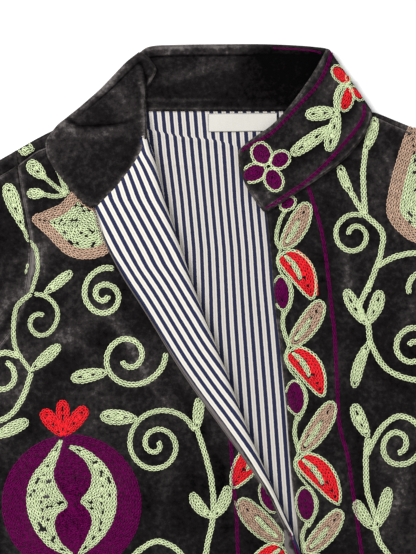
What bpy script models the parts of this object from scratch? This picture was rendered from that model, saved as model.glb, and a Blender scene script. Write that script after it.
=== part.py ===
"""An embroidered velvet jacket with a stand collar, lying open on its back on a flat surface.

Left and right are the wearer's own. X runs to the wearer's left, Y up to the collar and Z up from the
surface. The tables are in millimetres from the nape, the middle of the seam between back and collar.
"""

import math

import bmesh
import bpy
import numpy as np

MM = 0.001

# Where the middle of the whole outline lies from the nape, so that the model stands on its own centre.
MIDDLE_X = 32.0
MIDDLE_Y = -279.1

# Cloth
SHELL = 2.4
LINING = 1.0
COLLAR = 3.6
SEAM_GAP = 0.3
ARMHOLE_GAP = 0.6

# Heights above the surface, to the middle of each wall except where a name says top
BACK_TOP = 2.4
RIM_TOP = 5.0
RIM_EDGE_TOP = 3.4
RIM_ROUNDING = 2.5
RIM_LEVEL = 9.0
RIM_WIDTH = 15.0
LINING_MID = BACK_TOP + SEAM_GAP + LINING / 2
FRONT_MID = 6.8
FRONT_EDGE_DIP = 1.2
SLEEVE_SEAM_IN = 2.5

# Outline of the body. Each armhole has an upper part, which the sleeve's head meets, and a lower part.
RIGHT_SHOULDER = [(-191, -34), (-166, -20), (-140, -9), (-111, -1)]
LEFT_SHOULDER = [(111, -1), (140, -13), (166, -24), (194, -36)]
BACK_NECK = [(-111, -1), (-60, -0.5), (0, -0.5), (60, -0.5), (111, -1)]
BACK_HEM = [(-212, -612), (-80, -613), (60, -609), (200, -602), (334, -592)]
OUTLINE = {
    "right": {
        "upper": [(-191, -34), (-187, -70), (-182, -118), (-183, -157)],
        "lower": [(-183, -157), (-198, -190), (-232, -230)],
        "side": [(-232, -230), (-222, -320), (-214, -420), (-211, -520), (-212, -612)],
        "sleeve_outer": [(-191, -34), (-250, -68), (-318, -112), (-376, -166), (-425, -250), (-478, -382),
                         (-529, -506)],
        "sleeve_inner": [(-232, -230), (-262, -280), (-318, -378), (-372, -480), (-412, -558)],
        "away": -1,
        "band": 13.0,
    },
    "left": {
        "upper": [(194, -36), (199, -72), (204, -118), (213, -157)],
        "lower": [(213, -157), (235, -194), (276, -230)],
        "side": [(276, -230), (288, -320), (300, -420), (315, -520), (334, -592)],
        "sleeve_outer": [(194, -36), (256, -66), (338, -104), (412, -156), (468, -238), (532, -364),
                         (593, -484)],
        "sleeve_inner": [(276, -230), (312, -278), (374, -370), (434, -468), (480, -544)],
        "away": 1,
        "band": 6.0,
    },
}

# Shares of a side's length where its upper armhole and its whole armhole end, and the same on a sleeve
UPPER_END = 0.21
ARMHOLE_END = 0.345
SLEEVE_ARMHOLE_END = 0.2
UPPER_MARKS = np.array([0, .03, .09, .2, .32, .45, .58, .7, .81, .9, 1])
LOWER_MARKS = np.array([.2, .4, .6, .8, 1])
SIDE_MARKS = np.array([.06, .14, .24, .35, .47, .6, .74, .88, 1])

# Edges of the two fronts
RIGHT_FRONT_SHOULDER = [(-174, -35.5), (-166, -32), (-140, -22), (-111, -13)]
RIGHT_FRONT_NECK = [(-111, -13), (-97, -16)]
LEFT_FRONT_SHOULDER = [(166, -30), (140, -18.5), (111, -5.5)]
LEFT_FRONT_NECK = [(111, -5.5), (103.5, -16), (88.5, -34.5), (70.5, -49), (52.5, -60), (35, -71.5),
                   (19.6, -82)]
LEFT_FRONT_EDGE = [(19.6, -82), (24.5, -126), (27.5, -166), (31, -195), (36.6, -245), (40, -292),
                   (43.4, -326), (50, -377), (59, -470), (73.5, -604)]
RIGHT_HEM_MIDDLE = (-80, -609)
LEFT_HEM_MIDDLE = (200, -599)
SIDE_INSET = 2.8
HEM_INSET = 3.5

# Share of each top edge that its shoulder seam takes, on the fronts and at either end of the back
RIGHT_SHOULDER_SHARE = 0.78
LEFT_SHOULDER_SHARE = 0.355
BACK_SHOULDER_SHARE = 0.16

# The right front turned back, row by row down its fold: the fold as seen from above, the free edge,
# the radius of the bend, how far it turns in degrees, how far the lapel sinks towards its free edge, and
# how far inside that edge its lining ends.
LAPEL = [
    ("fold_x", "fold_y", "edge_x", "edge_y", "radius", "turn", "sink", "inset"),
    (-77.5, -29.5, -123.6, -84.2, 3.15, 180, 2.6, 1.2),
    (-73.2, -43.0, -118.6, -107.6, 3.15, 180, 2.8, 1.2),
    (-64.5, -79.0, -100.5, -142.0, 3.15, 180, 2.8, 1.3),
    (-52.5, -114.0, -84.0, -167.0, 3.15, 180, 2.6, 1.6),
    (-40.0, -152.0, -68.0, -193.5, 3.15, 180, 2.4, 2.0),
    (-27.5, -185.0, -53.0, -218.0, 3.15, 180, 2.2, 2.4),
    (-13.0, -222.0, -35.5, -243.0, 3.15, 180, 2.0, 2.8),
    (0.5, -259.0, -18.0, -267.0, 3.15, 180, 1.4, 3.4),
    (15.5, -295.0, 0.5, -296.0, 3.15, 180, 0.8, 4.2),
    (29.0, -323.0, 15.5, -322.5, 3.1, 178, 0.0, 5.0),
    (39.0, -345.0, 28.5, -343.5, 3.1, 165, 0.0, 5.0),
    (45.0, -363.0, 37.5, -362.0, 3.3, 135, 0.0, 5.0),
    (47.6, -380.0, 42.0, -380.0, 3.6, 95, 0.0, 5.0),
    (49.2, -399.0, 43.5, -399.0, 4.2, 55, 0.0, 5.0),
    (51.2, -420.0, 44.0, -420.0, 6.0, 22, 0.0, 5.0),
    (53.6, -445.0, 44.5, -445.0, 12.0, 5, 0.0, 5.0),
    (61.0, -520.0, 51.0, -520.0, 12.0, 5, 0.0, 5.0),
    (70.0, -604.0, 60.0, -604.0, 12.0, 5, 0.0, 5.0),
]
LAPEL_MARKS = np.array([.05, .1, .16, .22, .28, .33, .36, .385, .41, .435, .46, .49, .53, .57, .62, .68, .76,
                        .84, .92, 1])
STRIP = 8.5
BEND_STEPS = 8
LAPEL_SHARES = (0.12, 0.3, 0.5, 0.72, 0.9, 1.0)
LINING_TUCK = 26.0
LAPEL_LINING_END = 0.62

# Broad soft folds of the fronts and sleeves: middle, direction in degrees, length, width and height
FOLDS = [
    ("x", "y", "angle", "length", "width", "height"),
    (-168, -330, 74, 150, 26, 1.5),
    (-120, -420, 82, 190, 30, 1.3),
    (-196, -230, 48, 90, 20, 1.7),
    (-60, -470, 96, 170, 28, 1.2),
    (-150, -100, 62, 90, 18, 1.0),
    (150, -90, 118, 80, 16, 1.1),
    (190, -300, 98, 170, 28, 1.4),
    (240, -440, 96, 190, 30, 1.3),
    (140, -470, 84, 200, 28, 1.1),
    (228, -228, 132, 100, 20, 1.6),
    (-318, -190, 40, 110, 26, 1.9),
    (-372, -330, 62, 150, 22, 1.6),
    (-440, -440, 72, 110, 18, 1.3),
    (350, -175, 140, 110, 26, 1.9),
    (410, -310, 118, 150, 22, 1.6),
    (500, -420, 108, 110, 18, 1.3),
]

# Share of a sleeve's length over which its rolled-over band narrows, and the roundness of its top
BAND_END = 0.45
SLEEVE_CROWN = 1.6

# The stand collar from its end under the turned-back right end, round the back, over the fold at the
# left neck and forward to the left front: seam with the neck, free edge, and the height of each.
STAND = [
    ("seam_x", "seam_y", "seam_z", "free_x", "free_y", "free_z"),
    (-92.0, 0.3, 1.95, -81.0, 47.5, 1.95),
    (-60.0, 0.3, 1.95, -60.0, 53.5, 1.95),
    (-20.0, 0.3, 1.95, -20.0, 54.8, 1.95),
    (25.0, 0.3, 1.95, 20.0, 54.8, 1.95),
    (70.0, 0.3, 1.95, 48.0, 53.6, 1.95),
    (96.0, 0.3, 1.95, 64.0, 52.6, 1.95),
    (104.5, 0.0, 2.9, 70.5, 51.5, 2.9),
    (107.2, -0.8, 5.6, 72.4, 50.3, 5.6),
    (106.4, -2.6, 8.4, 71.0, 48.6, 8.4),
    (104.0, -10.0, 9.6, 67.5, 42.0, 9.6),
    (97.0, -22.0, 10.4, 62.0, 32.5, 10.6),
    (86.0, -35.5, 10.8, 53.5, 19.5, 11.0),
    (68.5, -49.0, 10.8, 40.5, 2.0, 10.6),
    (51.0, -60.5, 10.6, 25.5, -14.0, 9.8),
    (34.0, -71.8, 10.5, 10.5, -25.5, 8.8),
    (18.8, -82.6, 10.2, 0.6, -35.5, 7.8),
]
STAND_ROWS = 46
FRONT_END_BOW = 4.0

# The collar's right end, turned back over the shoulder with its plain side up, row by row from the
# back of the neck to its tip: inner edge, crest beside it, outer free edge, and the height of each.
TURNED_END = [
    ("inner_x", "inner_y", "inner_z", "crest_z", "outer_x", "outer_y", "outer_z"),
    (-79.0, 43.0, 6.2, 6.3, -83.5, 48.6, 6.2),
    (-81.3, 33.0, 6.2, 8.4, -97.0, 39.5, 6.2),
    (-82.6, 17.0, 6.2, 11.0, -118.5, 20.2, 6.4),
    (-82.2, 2.0, 6.4, 12.2, -138.5, 0.5, 8.0),
    (-81.2, -12.0, 8.4, 12.6, -153.0, -11.5, 9.8),
    (-81.0, -22.5, 12.4, 13.2, -162.6, -27.0, 10.4),
    (-86.0, -31.0, 13.4, 13.4, -161.2, -37.5, 10.6),
    (-92.0, -40.5, 13.0, 13.0, -156.0, -45.5, 10.6),
    (-99.0, -49.8, 12.4, 12.4, -148.8, -54.0, 10.4),
    (-107.5, -61.0, 11.8, 11.8, -140.0, -65.0, 10.4),
    (-116.0, -72.0, 11.2, 11.2, -131.5, -75.5, 10.4),
    (-122.6, -79.6, 10.8, 10.8, -126.8, -80.8, 10.4),
]
CREST_AT = 0.2

# Lining of the back where the open fronts show it, and the bare label sewn to it
LINING_OUTLINE = {"top": [(-100, -0.8), (0, -0.8), (100, -0.8)],
                  "bottom": [(-58, -440), (40, -440), (128, -440)],
                  "left": [(-100, -0.8), (-118, -100), (-104, -230), (-58, -440)],
                  "right": [(100, -0.8), (104, -100), (112, -230), (128, -440)]}
LABEL_SIZE = (58.5, 15.5)
LABEL_THICK = 0.8
LABEL_TOP_LEFT = (-29.0, -2.4)
LABEL_TURN = math.radians(0.6)


def clear_scene():
    for obj in list(bpy.data.objects):
        bpy.data.objects.remove(obj)


def rows_of(table):
    """A table's rows as dictionaries keyed by its first row."""
    return [dict(zip(table[0], row)) for row in table[1:]]


def column(table, name):
    return [row[name] for row in rows_of(table)]


def along(points, fractions):
    """Points at these fractions of the length of a smooth curve through the given points."""
    given = np.array(points, float)
    before = 2 * given[0] - given[1]
    after = 2 * given[-1] - given[-2]
    p = np.vstack([before, given, after])
    steps = np.linspace(0, 1, 17)[:-1, None]
    pieces = []
    for a, b, c, d in zip(p, p[1:], p[2:], p[3:]):
        pieces.append(0.5 * (2 * b + (c - a) * steps + (2 * a - 5 * b + 4 * c - d) * steps**2
                             + (3 * b - a - 3 * c + d) * steps**3))
    fine = np.vstack(pieces + [given[-1:]])
    length = np.concatenate([[0], np.cumsum(np.linalg.norm(np.diff(fine, axis=0), axis=1))])
    wanted = np.clip(fractions, 0, 1) * length[-1]
    return np.stack([np.interp(wanted, length, fine[:, k]) for k in range(fine.shape[1])], axis=1)


def edge(*curves, shares=(1.0,)):
    """A boundary made of curves end to end. shares says where along it each curve ends."""
    starts = (0.0,) + tuple(shares[:-1])

    def at(fractions):
        found = np.zeros((len(fractions), 2))
        for curve, start, end in zip(curves, starts, shares):
            inside = (fractions >= start) & (fractions <= end)
            found[inside] = along(curve, (fractions[inside] - start) / (end - start))
        return found

    return at


def patch(top, bottom, left, right, us, vs):
    """The plan of a panel between its four edges: rows follow left and right, columns top and bottom. us
    may differ from row to row."""
    across = np.broadcast_to(us, (len(vs), np.shape(us)[-1]))
    ends = np.array([0.0, 1.0])
    t = top(across.ravel()).reshape(*across.shape, 2)
    b = bottom(across.ravel()).reshape(*across.shape, 2)
    lt, rt = left(vs)[:, None], right(vs)[:, None]
    tl, tr = top(ends)
    bl, br = bottom(ends)
    u, v = across[..., None], vs[:, None, None]
    corners = (1 - u) * (1 - v) * tl + u * (1 - v) * tr + (1 - u) * v * bl + u * v * br
    return (1 - v) * t + v * b + (1 - u) * lt + u * rt - corners


def body_side(side, start, inset):
    """One side of the body from the shoulder down its armhole and side seam. start is where on the upper
    armhole it begins, and inset how far inside the side seam it runs."""
    outline = OUTLINE[side]

    def at(vs):
        upper = along(outline["upper"], start + (1 - start) * vs / UPPER_END)
        lower = along(outline["lower"], (vs - UPPER_END) / (ARMHOLE_END - UPPER_END))
        seam = along(outline["side"], (vs - ARMHOLE_END) / (1 - ARMHOLE_END))
        seam[:, 0] -= outline["away"] * inset * smooth((vs - ARMHOLE_END) / 0.03)
        seam[-1, 1] += HEM_INSET * (inset > 0) * (vs[-1] == 1)
        picked = np.where(vs[:, None] <= UPPER_END, upper, lower)
        return np.where(vs[:, None] <= ARMHOLE_END, picked, seam)

    return at


def body_rows(side_marks):
    """Shares of a body side's length for its rows, which every panel at an armhole has in common."""
    return np.concatenate([UPPER_MARKS * UPPER_END, UPPER_END + LOWER_MARKS * (ARMHOLE_END - UPPER_END),
                           ARMHOLE_END + side_marks * (1 - ARMHOLE_END)])


def front_start(side):
    """Where on the upper armhole a front and the upper sleeve begin, below the rolled-over band."""
    points = np.array(OUTLINE[side]["upper"], float)
    return OUTLINE[side]["band"] / np.linalg.norm(np.diff(points, axis=0), axis=1).sum()


def smooth(x):
    x = np.clip(x, 0, 1)
    return x * x * (3 - 2 * x)


def folds(plan):
    """Height that the broad soft folds add at each point of a plan."""
    height = np.zeros(plan.shape[:-1])
    for fold in rows_of(FOLDS):
        angle = math.radians(fold["angle"])
        dx, dy = plan[..., 0] - fold["x"], plan[..., 1] - fold["y"]
        lengthwise = (dx * math.cos(angle) + dy * math.sin(angle)) / (fold["length"] / 2)
        across = (dx * math.sin(angle) - dy * math.cos(angle)) / (fold["width"] / 2)
        height += fold["height"] * np.exp(-lengthwise**2 - across**2)
    return height


def at_height(plan, z):
    return np.concatenate([plan, np.broadcast_to(z, plan.shape[:2])[..., None]], axis=2)


def material(name, colour, roughness):
    made = bpy.data.materials.new(name)
    made.use_nodes = True
    shader = made.node_tree.nodes["Principled BSDF"]
    shader.inputs["Base Color"].default_value = (*colour, 1.0)
    shader.inputs["Roughness"].default_value = roughness
    shader.inputs["Metallic"].default_value = 0.0
    return made


def sheet_object(name, grid, paint):
    """An open surface through a grid of points, in the jacket's collection."""
    height, width = grid.shape[:2]
    shape = bmesh.new()
    bmesh.ops.create_grid(shape, x_segments=width - 1, y_segments=height - 1, size=1)
    points = (grid.reshape(-1, 3) - (MIDDLE_X, MIDDLE_Y, 0)) * MM
    for corner, point in zip(shape.verts, points):
        corner.co = point
    mesh = bpy.data.meshes.new(name)
    shape.to_mesh(mesh)
    shape.free()
    mesh.materials.append(paint)
    mesh.shade_smooth()
    made = bpy.data.objects.new(name, mesh)
    jacket.objects.link(made)
    return made


def wall(name, grid, thickness, paint):
    """A cloth wall of even thickness about the surface through a grid."""
    made = sheet_object(name, grid, paint)
    solidify = made.modifiers.new("cloth", "SOLIDIFY")
    solidify.thickness = thickness * MM
    solidify.offset = 0.0
    solidify.use_even_offset = True
    return made


def slab(name, top, paint):
    """A panel with a flat underside on the surface: its top is a grid, and its sides drop straight."""
    made = sheet_object(name, top, paint)
    shape = bmesh.new()
    shape.from_mesh(made.data)
    copied = bmesh.ops.duplicate(shape, geom=shape.verts[:] + shape.edges[:] + shape.faces[:])
    under = [item for item in copied["geom"] if isinstance(item, bmesh.types.BMVert)]
    for corner in under:
        corner.co.z = 0.0
    open_edges = [side for side in shape.edges if side.is_boundary]
    bmesh.ops.bridge_loops(shape, edges=open_edges)
    bmesh.ops.recalc_face_normals(shape, faces=shape.faces)
    shape.to_mesh(made.data)
    shape.free()
    return made


def rim(distance):
    """Top of a lower panel this far in from its rolled edge."""
    rise = RIM_EDGE_TOP + (RIM_TOP - RIM_EDGE_TOP) * smooth(distance / RIM_ROUNDING)
    return BACK_TOP + (rise - BACK_TOP) * (1 - smooth((distance - RIM_LEVEL) / (RIM_WIDTH - RIM_LEVEL)))


def make_back(velvet):
    """Back panel: flat under the whole body, its edge rolled up at the shoulders and side seams."""
    us = np.array([0, .005, .014, .022, .034, .09, .155, .165, .24, .33, .42, .5])
    us = np.concatenate([us, 1 - us[-2::-1]])
    vs = body_rows(SIDE_MARKS)
    neck_ends = (BACK_SHOULDER_SHARE, 1 - BACK_SHOULDER_SHARE, 1.0)
    top = edge(RIGHT_SHOULDER, BACK_NECK, LEFT_SHOULDER, shares=neck_ends)
    left, right = body_side("right", 0, 0), body_side("left", 0, 0)
    plan = patch(top, edge(BACK_HEM), left, right, us, vs)
    width = plan[:, -1:, 0] - plan[:, :1, 0]
    from_side = np.minimum(us, 1 - us)[None, :] * width
    below_underarm = smooth((vs - ARMHOLE_END) / 0.05)[:, None]
    from_top = plan[:1, :, 1] - plan[..., 1]
    past_shoulder = np.minimum(us, 1 - us) - (BACK_SHOULDER_SHARE - 0.03)
    on_shoulder = 1 - smooth(past_shoulder / 0.035)[None, :]
    sides = (rim(from_side) - BACK_TOP) * below_underarm
    shoulders = (rim(from_top) - BACK_TOP) * on_shoulder
    return slab("back", at_height(plan, BACK_TOP + np.maximum(sides, shoulders)), velvet)


def make_back_lining(ticking):
    """Striped lining of the back, where the open fronts show it."""
    us, vs = np.linspace(0, 1, 7), np.linspace(0, 1, 9)
    sides = [edge(LINING_OUTLINE[name]) for name in ("top", "bottom", "left", "right")]
    return wall("back_lining", at_height(patch(*sides, us, vs), LINING_MID), LINING, ticking)


def make_label(tape):
    """Bare woven label on the lining under the collar seam."""
    width, height = LABEL_SIZE
    bpy.ops.mesh.primitive_cube_add(size=1)
    label = bpy.context.object
    label.name = "label"
    label.data.name = "label"
    label.scale = (width * MM, height * MM, LABEL_THICK * MM)
    x, y = LABEL_TOP_LEFT
    z = LINING_MID + LINING / 2 + SEAM_GAP + LABEL_THICK / 2
    label.location = ((x + width / 2 - MIDDLE_X) * MM, (y - height / 2 - MIDDLE_Y) * MM, z * MM)
    label.rotation_euler.z = LABEL_TURN
    label.data.materials.append(tape)
    for group in list(label.users_collection):
        group.objects.unlink(label)
    jacket.objects.link(label)
    return label


def front_height(plan, us, vs, front_edge_at_one):
    """Middle of a front's wall: level with soft folds, dipping towards its open front edge and hem."""
    calm = smooth(np.minimum(us, 1 - us) / 0.08)[None, :] * smooth(np.minimum(vs, 1 - vs) / 0.06)[:, None]
    z = FRONT_MID + folds(plan) * calm
    if front_edge_at_one:
        z = z - FRONT_EDGE_DIP * smooth((us - 0.95) / 0.05)[None, :] * smooth(vs / 0.12)[:, None]
    return z


def make_left_front(velvet):
    """Left front: shoulder and neck above, armhole and side seam outside, straight edge inside."""
    us = np.array([0, .03, .08, .16, .25, .34, .37, .45, .55, .66, .77, .88, .96, 1])
    vs = body_rows(SIDE_MARKS)
    left = body_side("left", front_start("left"), SIDE_INSET)
    corner, hem_corner = left(np.array([0.0, 1.0]))
    shoulder = [tuple(corner)] + LEFT_FRONT_SHOULDER
    top = edge(shoulder, LEFT_FRONT_NECK, shares=(LEFT_SHOULDER_SHARE, 1.0))
    hem = edge([tuple(hem_corner), LEFT_HEM_MIDDLE, LEFT_FRONT_EDGE[-1]])
    plan = patch(top, hem, left, edge(LEFT_FRONT_EDGE), us, vs)
    return wall("front_left", at_height(plan, front_height(plan, us, vs, True)), SHELL, velvet)


def lapel_rows(vs):
    """The lapel's table read smoothly at these shares of its length, one array for each column."""
    names = LAPEL[0]
    place = np.array([[row[name] for name in names] for row in rows_of(LAPEL)], float)
    distance = np.concatenate([[0], np.cumsum(np.linalg.norm(np.diff(place[:, :2], axis=0), axis=1))])
    outline = along(place[:, :2], vs)
    found = {"fold": outline}
    share = distance / distance[-1]
    for name in names[2:]:
        found[name] = np.interp(vs, share, place[:, names.index(name)])
    found["edge"] = np.stack([found["edge_x"], found["edge_y"]], axis=1)
    return found


def bend(rows, offset, back_to, stop_short):
    """The turned-back part of the right front as a grid: a little before the bend, round it, and out to
    the free edge. offset moves the surface to the lining's side of the cloth, back_to starts it that far
    before the bend, and stop_short ends it that far from the free edge."""
    run = np.gradient(rows["fold"], axis=0)
    outward = np.stack([-run[:, 1], run[:, 0]], axis=1) / np.linalg.norm(run, axis=1)[:, None]
    turn = np.radians(rows["turn"])
    skin = SHELL / 2 + SEAM_GAP + LINING
    lying = rows["radius"] * np.sin(turn) + STRIP * np.cos(turn) + SHELL / 2
    reach = np.where(rows["turn"] >= 90, rows["radius"] + skin, lying)
    base = rows["fold"] - outward * reach[:, None]
    radius = rows["radius"] + offset
    level = np.full(len(base), FRONT_MID - offset)
    grid = [np.column_stack([base - outward * back, level]) for back in back_to]
    for share in np.linspace(0, 1, BEND_STEPS):
        angle = turn * share
        z = FRONT_MID + rows["radius"] - radius * np.cos(angle)
        grid.append(np.column_stack([base + outward * (radius * np.sin(angle))[:, None], z]))
    lies_back = rows["turn"] > 170
    leaning = outward * (STRIP * np.cos(turn))[:, None]
    to_edge = np.where(lies_back[:, None], rows["edge"] - base, leaning)
    whole = np.where(lies_back, np.linalg.norm(to_edge, axis=1), STRIP)
    climb = np.where(lies_back, -rows["sink"], STRIP * np.sin(turn))
    for share in LAPEL_SHARES:
        part = share * (1 - stop_short / whole)
        grid.append(grid[len(back_to) + BEND_STEPS - 1] + np.column_stack([to_edge, climb]) * part[:, None])
    return np.stack(grid, axis=1), base


def make_right_front(velvet):
    """Right front: its panel as on the left, then the bend and the lapel turned back over it."""
    us = np.array([0, .03, .08, .16, .25, .34, .45, .55, .66, .77, .88, .96, 1])
    vs = body_rows(LAPEL_MARKS)
    rows = lapel_rows(vs)
    turned, base = bend(rows, 0.0, (), 0.0)
    left = body_side("right", front_start("right"), SIDE_INSET)
    corner, hem_corner = left(np.array([0.0, 1.0]))
    shoulder = [tuple(corner)] + RIGHT_FRONT_SHOULDER
    top = edge(shoulder, RIGHT_FRONT_NECK + [tuple(base[0])], shares=(RIGHT_SHOULDER_SHARE, 1.0))
    hem = edge([tuple(hem_corner), RIGHT_HEM_MIDDLE, tuple(base[-1])])
    plan = patch(top, hem, left, lambda _: base, us, vs)
    panel = at_height(plan, front_height(plan, us, vs, False))
    return wall("front_right", np.concatenate([panel, turned[:, 1:]], axis=1), SHELL, velvet)


def make_lapel_lining(ticking):
    """Striped lining of the right front where it is turned back, carried round the fold and tucked under."""
    vs = body_rows(LAPEL_MARKS)
    vs = vs[vs < LAPEL_LINING_END]
    offset = SHELL / 2 + SEAM_GAP + LINING / 2
    rows = lapel_rows(vs)
    grid, _ = bend(rows, offset, (LINING_TUCK, LINING_TUCK / 2), rows["inset"])
    return wall("lapel_lining", grid, LINING, ticking)


def sleeve_edges(side):
    """The four edges of a sleeve laid flat: upper armhole, cuff, outer fold and the inner side, which is
    the lower armhole and then the inner seam."""
    outline = OUTLINE[side]
    cuff = [outline["sleeve_outer"][-1], outline["sleeve_inner"][-1]]
    inner = edge(outline["lower"], outline["sleeve_inner"], shares=(SLEEVE_ARMHOLE_END, 1.0))
    return edge(outline["upper"]), edge(cuff), edge(outline["sleeve_outer"]), inner


def off_the_body(plan, away, rows_at_armhole):
    """Moves a sleeve's edge along the armhole a little out, so that the seam stays open by a hair."""
    line = np.concatenate([plan[0], plan[1:rows_at_armhole, -1]])
    run = np.gradient(line, axis=0)
    out = away * np.stack([-run[:, 1], run[:, 0]], axis=1) / np.linalg.norm(run, axis=1)[:, None]
    line = line + ARMHOLE_GAP * out
    plan[0] = line[:plan.shape[1]]
    plan[1:rows_at_armhole, -1] = line[plan.shape[1]:]
    return plan


def make_sleeve(side, velvet):
    """One sleeve as two pieces: the under one flat, with a rolled outer edge, and the upper one on it."""
    outline = OUTLINE[side]
    edges = sleeve_edges(side)
    us = UPPER_MARKS
    armhole_rows = 1 + len(LOWER_MARKS)
    vs = np.concatenate([[0], LOWER_MARKS * SLEEVE_ARMHOLE_END,
                         np.array([.27, .35, .43, .52, .61, .7, .79, .88, .95, .985, 1])])
    plan = off_the_body(patch(*edges, us, vs), outline["away"], armhole_rows)
    across = np.linalg.norm(plan[:, -1] - plan[:, 0], axis=1)[:, None]
    past_underarm = smooth((vs - SLEEVE_ARMHOLE_END) / 0.06)[:, None]
    outer_rim = rim(us[None, :] * across)
    inner_rim = BACK_TOP + (rim((1 - us)[None, :] * across) - BACK_TOP) * past_underarm
    slab("sleeve_under_" + side, at_height(plan, np.maximum(outer_rim, inner_rim)), velvet)

    band = SLEEVE_SEAM_IN + (outline["band"] - SLEEVE_SEAM_IN) * (1 - smooth(vs / BAND_END))
    start = band[:, None] / across
    start[0] = front_start(side)
    end = 1 - SLEEVE_SEAM_IN * past_underarm / across
    shares = start + (end - start) * us
    upper = off_the_body(patch(*edges, shares, vs), outline["away"], armhole_rows)
    calm = smooth(np.minimum(us, 1 - us) * across / 18)
    ends = smooth(np.minimum(vs / 0.08, (1 - vs) / 0.05))[:, None]
    z = FRONT_MID + (folds(upper) * calm + SLEEVE_CROWN * np.sin(math.pi * us)) * ends
    return wall("sleeve_upper_" + side, at_height(upper, z), SHELL, velvet)


def make_stand_collar(velvet):
    """Stand collar round the back of the neck, folded over itself at the left neck and coming forward."""
    table = np.array([[row[name] for name in STAND[0]] for row in rows_of(STAND)], float)
    even = np.linspace(0, 1, STAND_ROWS)
    index = np.linspace(0, len(table) - 1, STAND_ROWS)
    lines = []
    for half in (table[:, :3], table[:, 3:]):
        fine = along(half, np.linspace(0, 1, 400))
        marks = np.array([np.argmin(np.linalg.norm(fine - point, axis=1)) for point in half]) / 399
        lines.append(along(half, np.interp(index, np.arange(len(table)), marks)))
    seam, free = lines
    bow = FRONT_END_BOW * smooth((even - 0.9) / 0.1)
    grid = []
    for share in (0, 0.2, 0.4, 0.6, 0.8, 1.0):
        line = seam + (free - seam) * share
        line[:, 0] -= bow * math.sin(math.pi * share)
        grid.append(line)
    return wall("collar_stand", np.stack(grid, axis=1), COLLAR, velvet)


def make_turned_end(velvet):
    """Right end of the collar, turned back over the shoulder with its plain side up."""
    table = {name: np.array(column(TURNED_END, name)) for name in TURNED_END[0]}
    marks = np.arange(len(table["inner_x"]))
    index = np.linspace(0, marks[-1], 23)
    read = {name: np.interp(index, marks, values) for name, values in table.items()}
    inner = np.column_stack([read["inner_x"], read["inner_y"]])
    outer = np.column_stack([read["outer_x"], read["outer_y"]])
    grid = []
    for share in (0, 0.07, CREST_AT, 0.4, 0.6, 0.8, 0.94, 1.0):
        climb = smooth(share / CREST_AT)
        fall = smooth((share - CREST_AT) / (1 - CREST_AT))
        z = read["inner_z"] + (read["crest_z"] - read["inner_z"]) * climb
        z = z + (read["outer_z"] - read["crest_z"]) * fall
        grid.append(np.column_stack([inner + (outer - inner) * share, z]))
    return wall("collar_turned_end", np.stack(grid, axis=1), COLLAR, velvet)


clear_scene()
jacket = bpy.data.collections.new("velvet_jacket")
bpy.context.scene.collection.children.link(jacket)
black_velvet = material("black_velvet", (0.020, 0.018, 0.018), 0.85)
striped_ticking = material("striped_ticking", (0.62, 0.60, 0.55), 0.8)
white_tape = material("white_tape", (0.80, 0.77, 0.70), 0.75)

make_back(black_velvet)
make_back_lining(striped_ticking)
make_label(white_tape)
make_left_front(black_velvet)
make_right_front(black_velvet)
make_lapel_lining(striped_ticking)
make_sleeve("right", black_velvet)
make_sleeve("left", black_velvet)
make_stand_collar(black_velvet)
make_turned_end(black_velvet)
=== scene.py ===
"""Looks of an embroidered velvet jacket with a stand collar, lying open on its back.

Left and right are the wearer's own. The tables are in millimetres from the nape, the middle of the seam
between back and collar, with X to the wearer's left and Y up to the collar.
"""

import math

import bpy
import numpy as np
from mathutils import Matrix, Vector
from mathutils.bvhtree import BVHTree
from numpy.lib.stride_tricks import sliding_window_view


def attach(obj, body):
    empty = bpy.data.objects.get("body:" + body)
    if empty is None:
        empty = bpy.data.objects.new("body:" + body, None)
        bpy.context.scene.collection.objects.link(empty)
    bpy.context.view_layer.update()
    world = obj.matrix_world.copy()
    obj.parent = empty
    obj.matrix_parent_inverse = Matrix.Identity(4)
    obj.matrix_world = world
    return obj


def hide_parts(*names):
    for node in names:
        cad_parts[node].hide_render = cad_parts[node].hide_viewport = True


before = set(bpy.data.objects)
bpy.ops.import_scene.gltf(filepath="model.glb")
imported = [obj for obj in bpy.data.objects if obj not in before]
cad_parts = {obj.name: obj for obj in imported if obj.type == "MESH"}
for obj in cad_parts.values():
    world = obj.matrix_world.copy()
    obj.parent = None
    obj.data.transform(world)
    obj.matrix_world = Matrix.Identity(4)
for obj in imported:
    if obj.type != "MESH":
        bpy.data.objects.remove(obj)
bpy.ops.object.select_all(action="DESELECT")
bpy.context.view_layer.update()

# ---------------------------------------------------------------------------------------------------
# Back panel. One piece of black velvet from shoulder to hem, flat under the whole jacket. Its edges
# roll up over the front's own at the shoulders and side seams, where they show as a soft rim.

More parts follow.
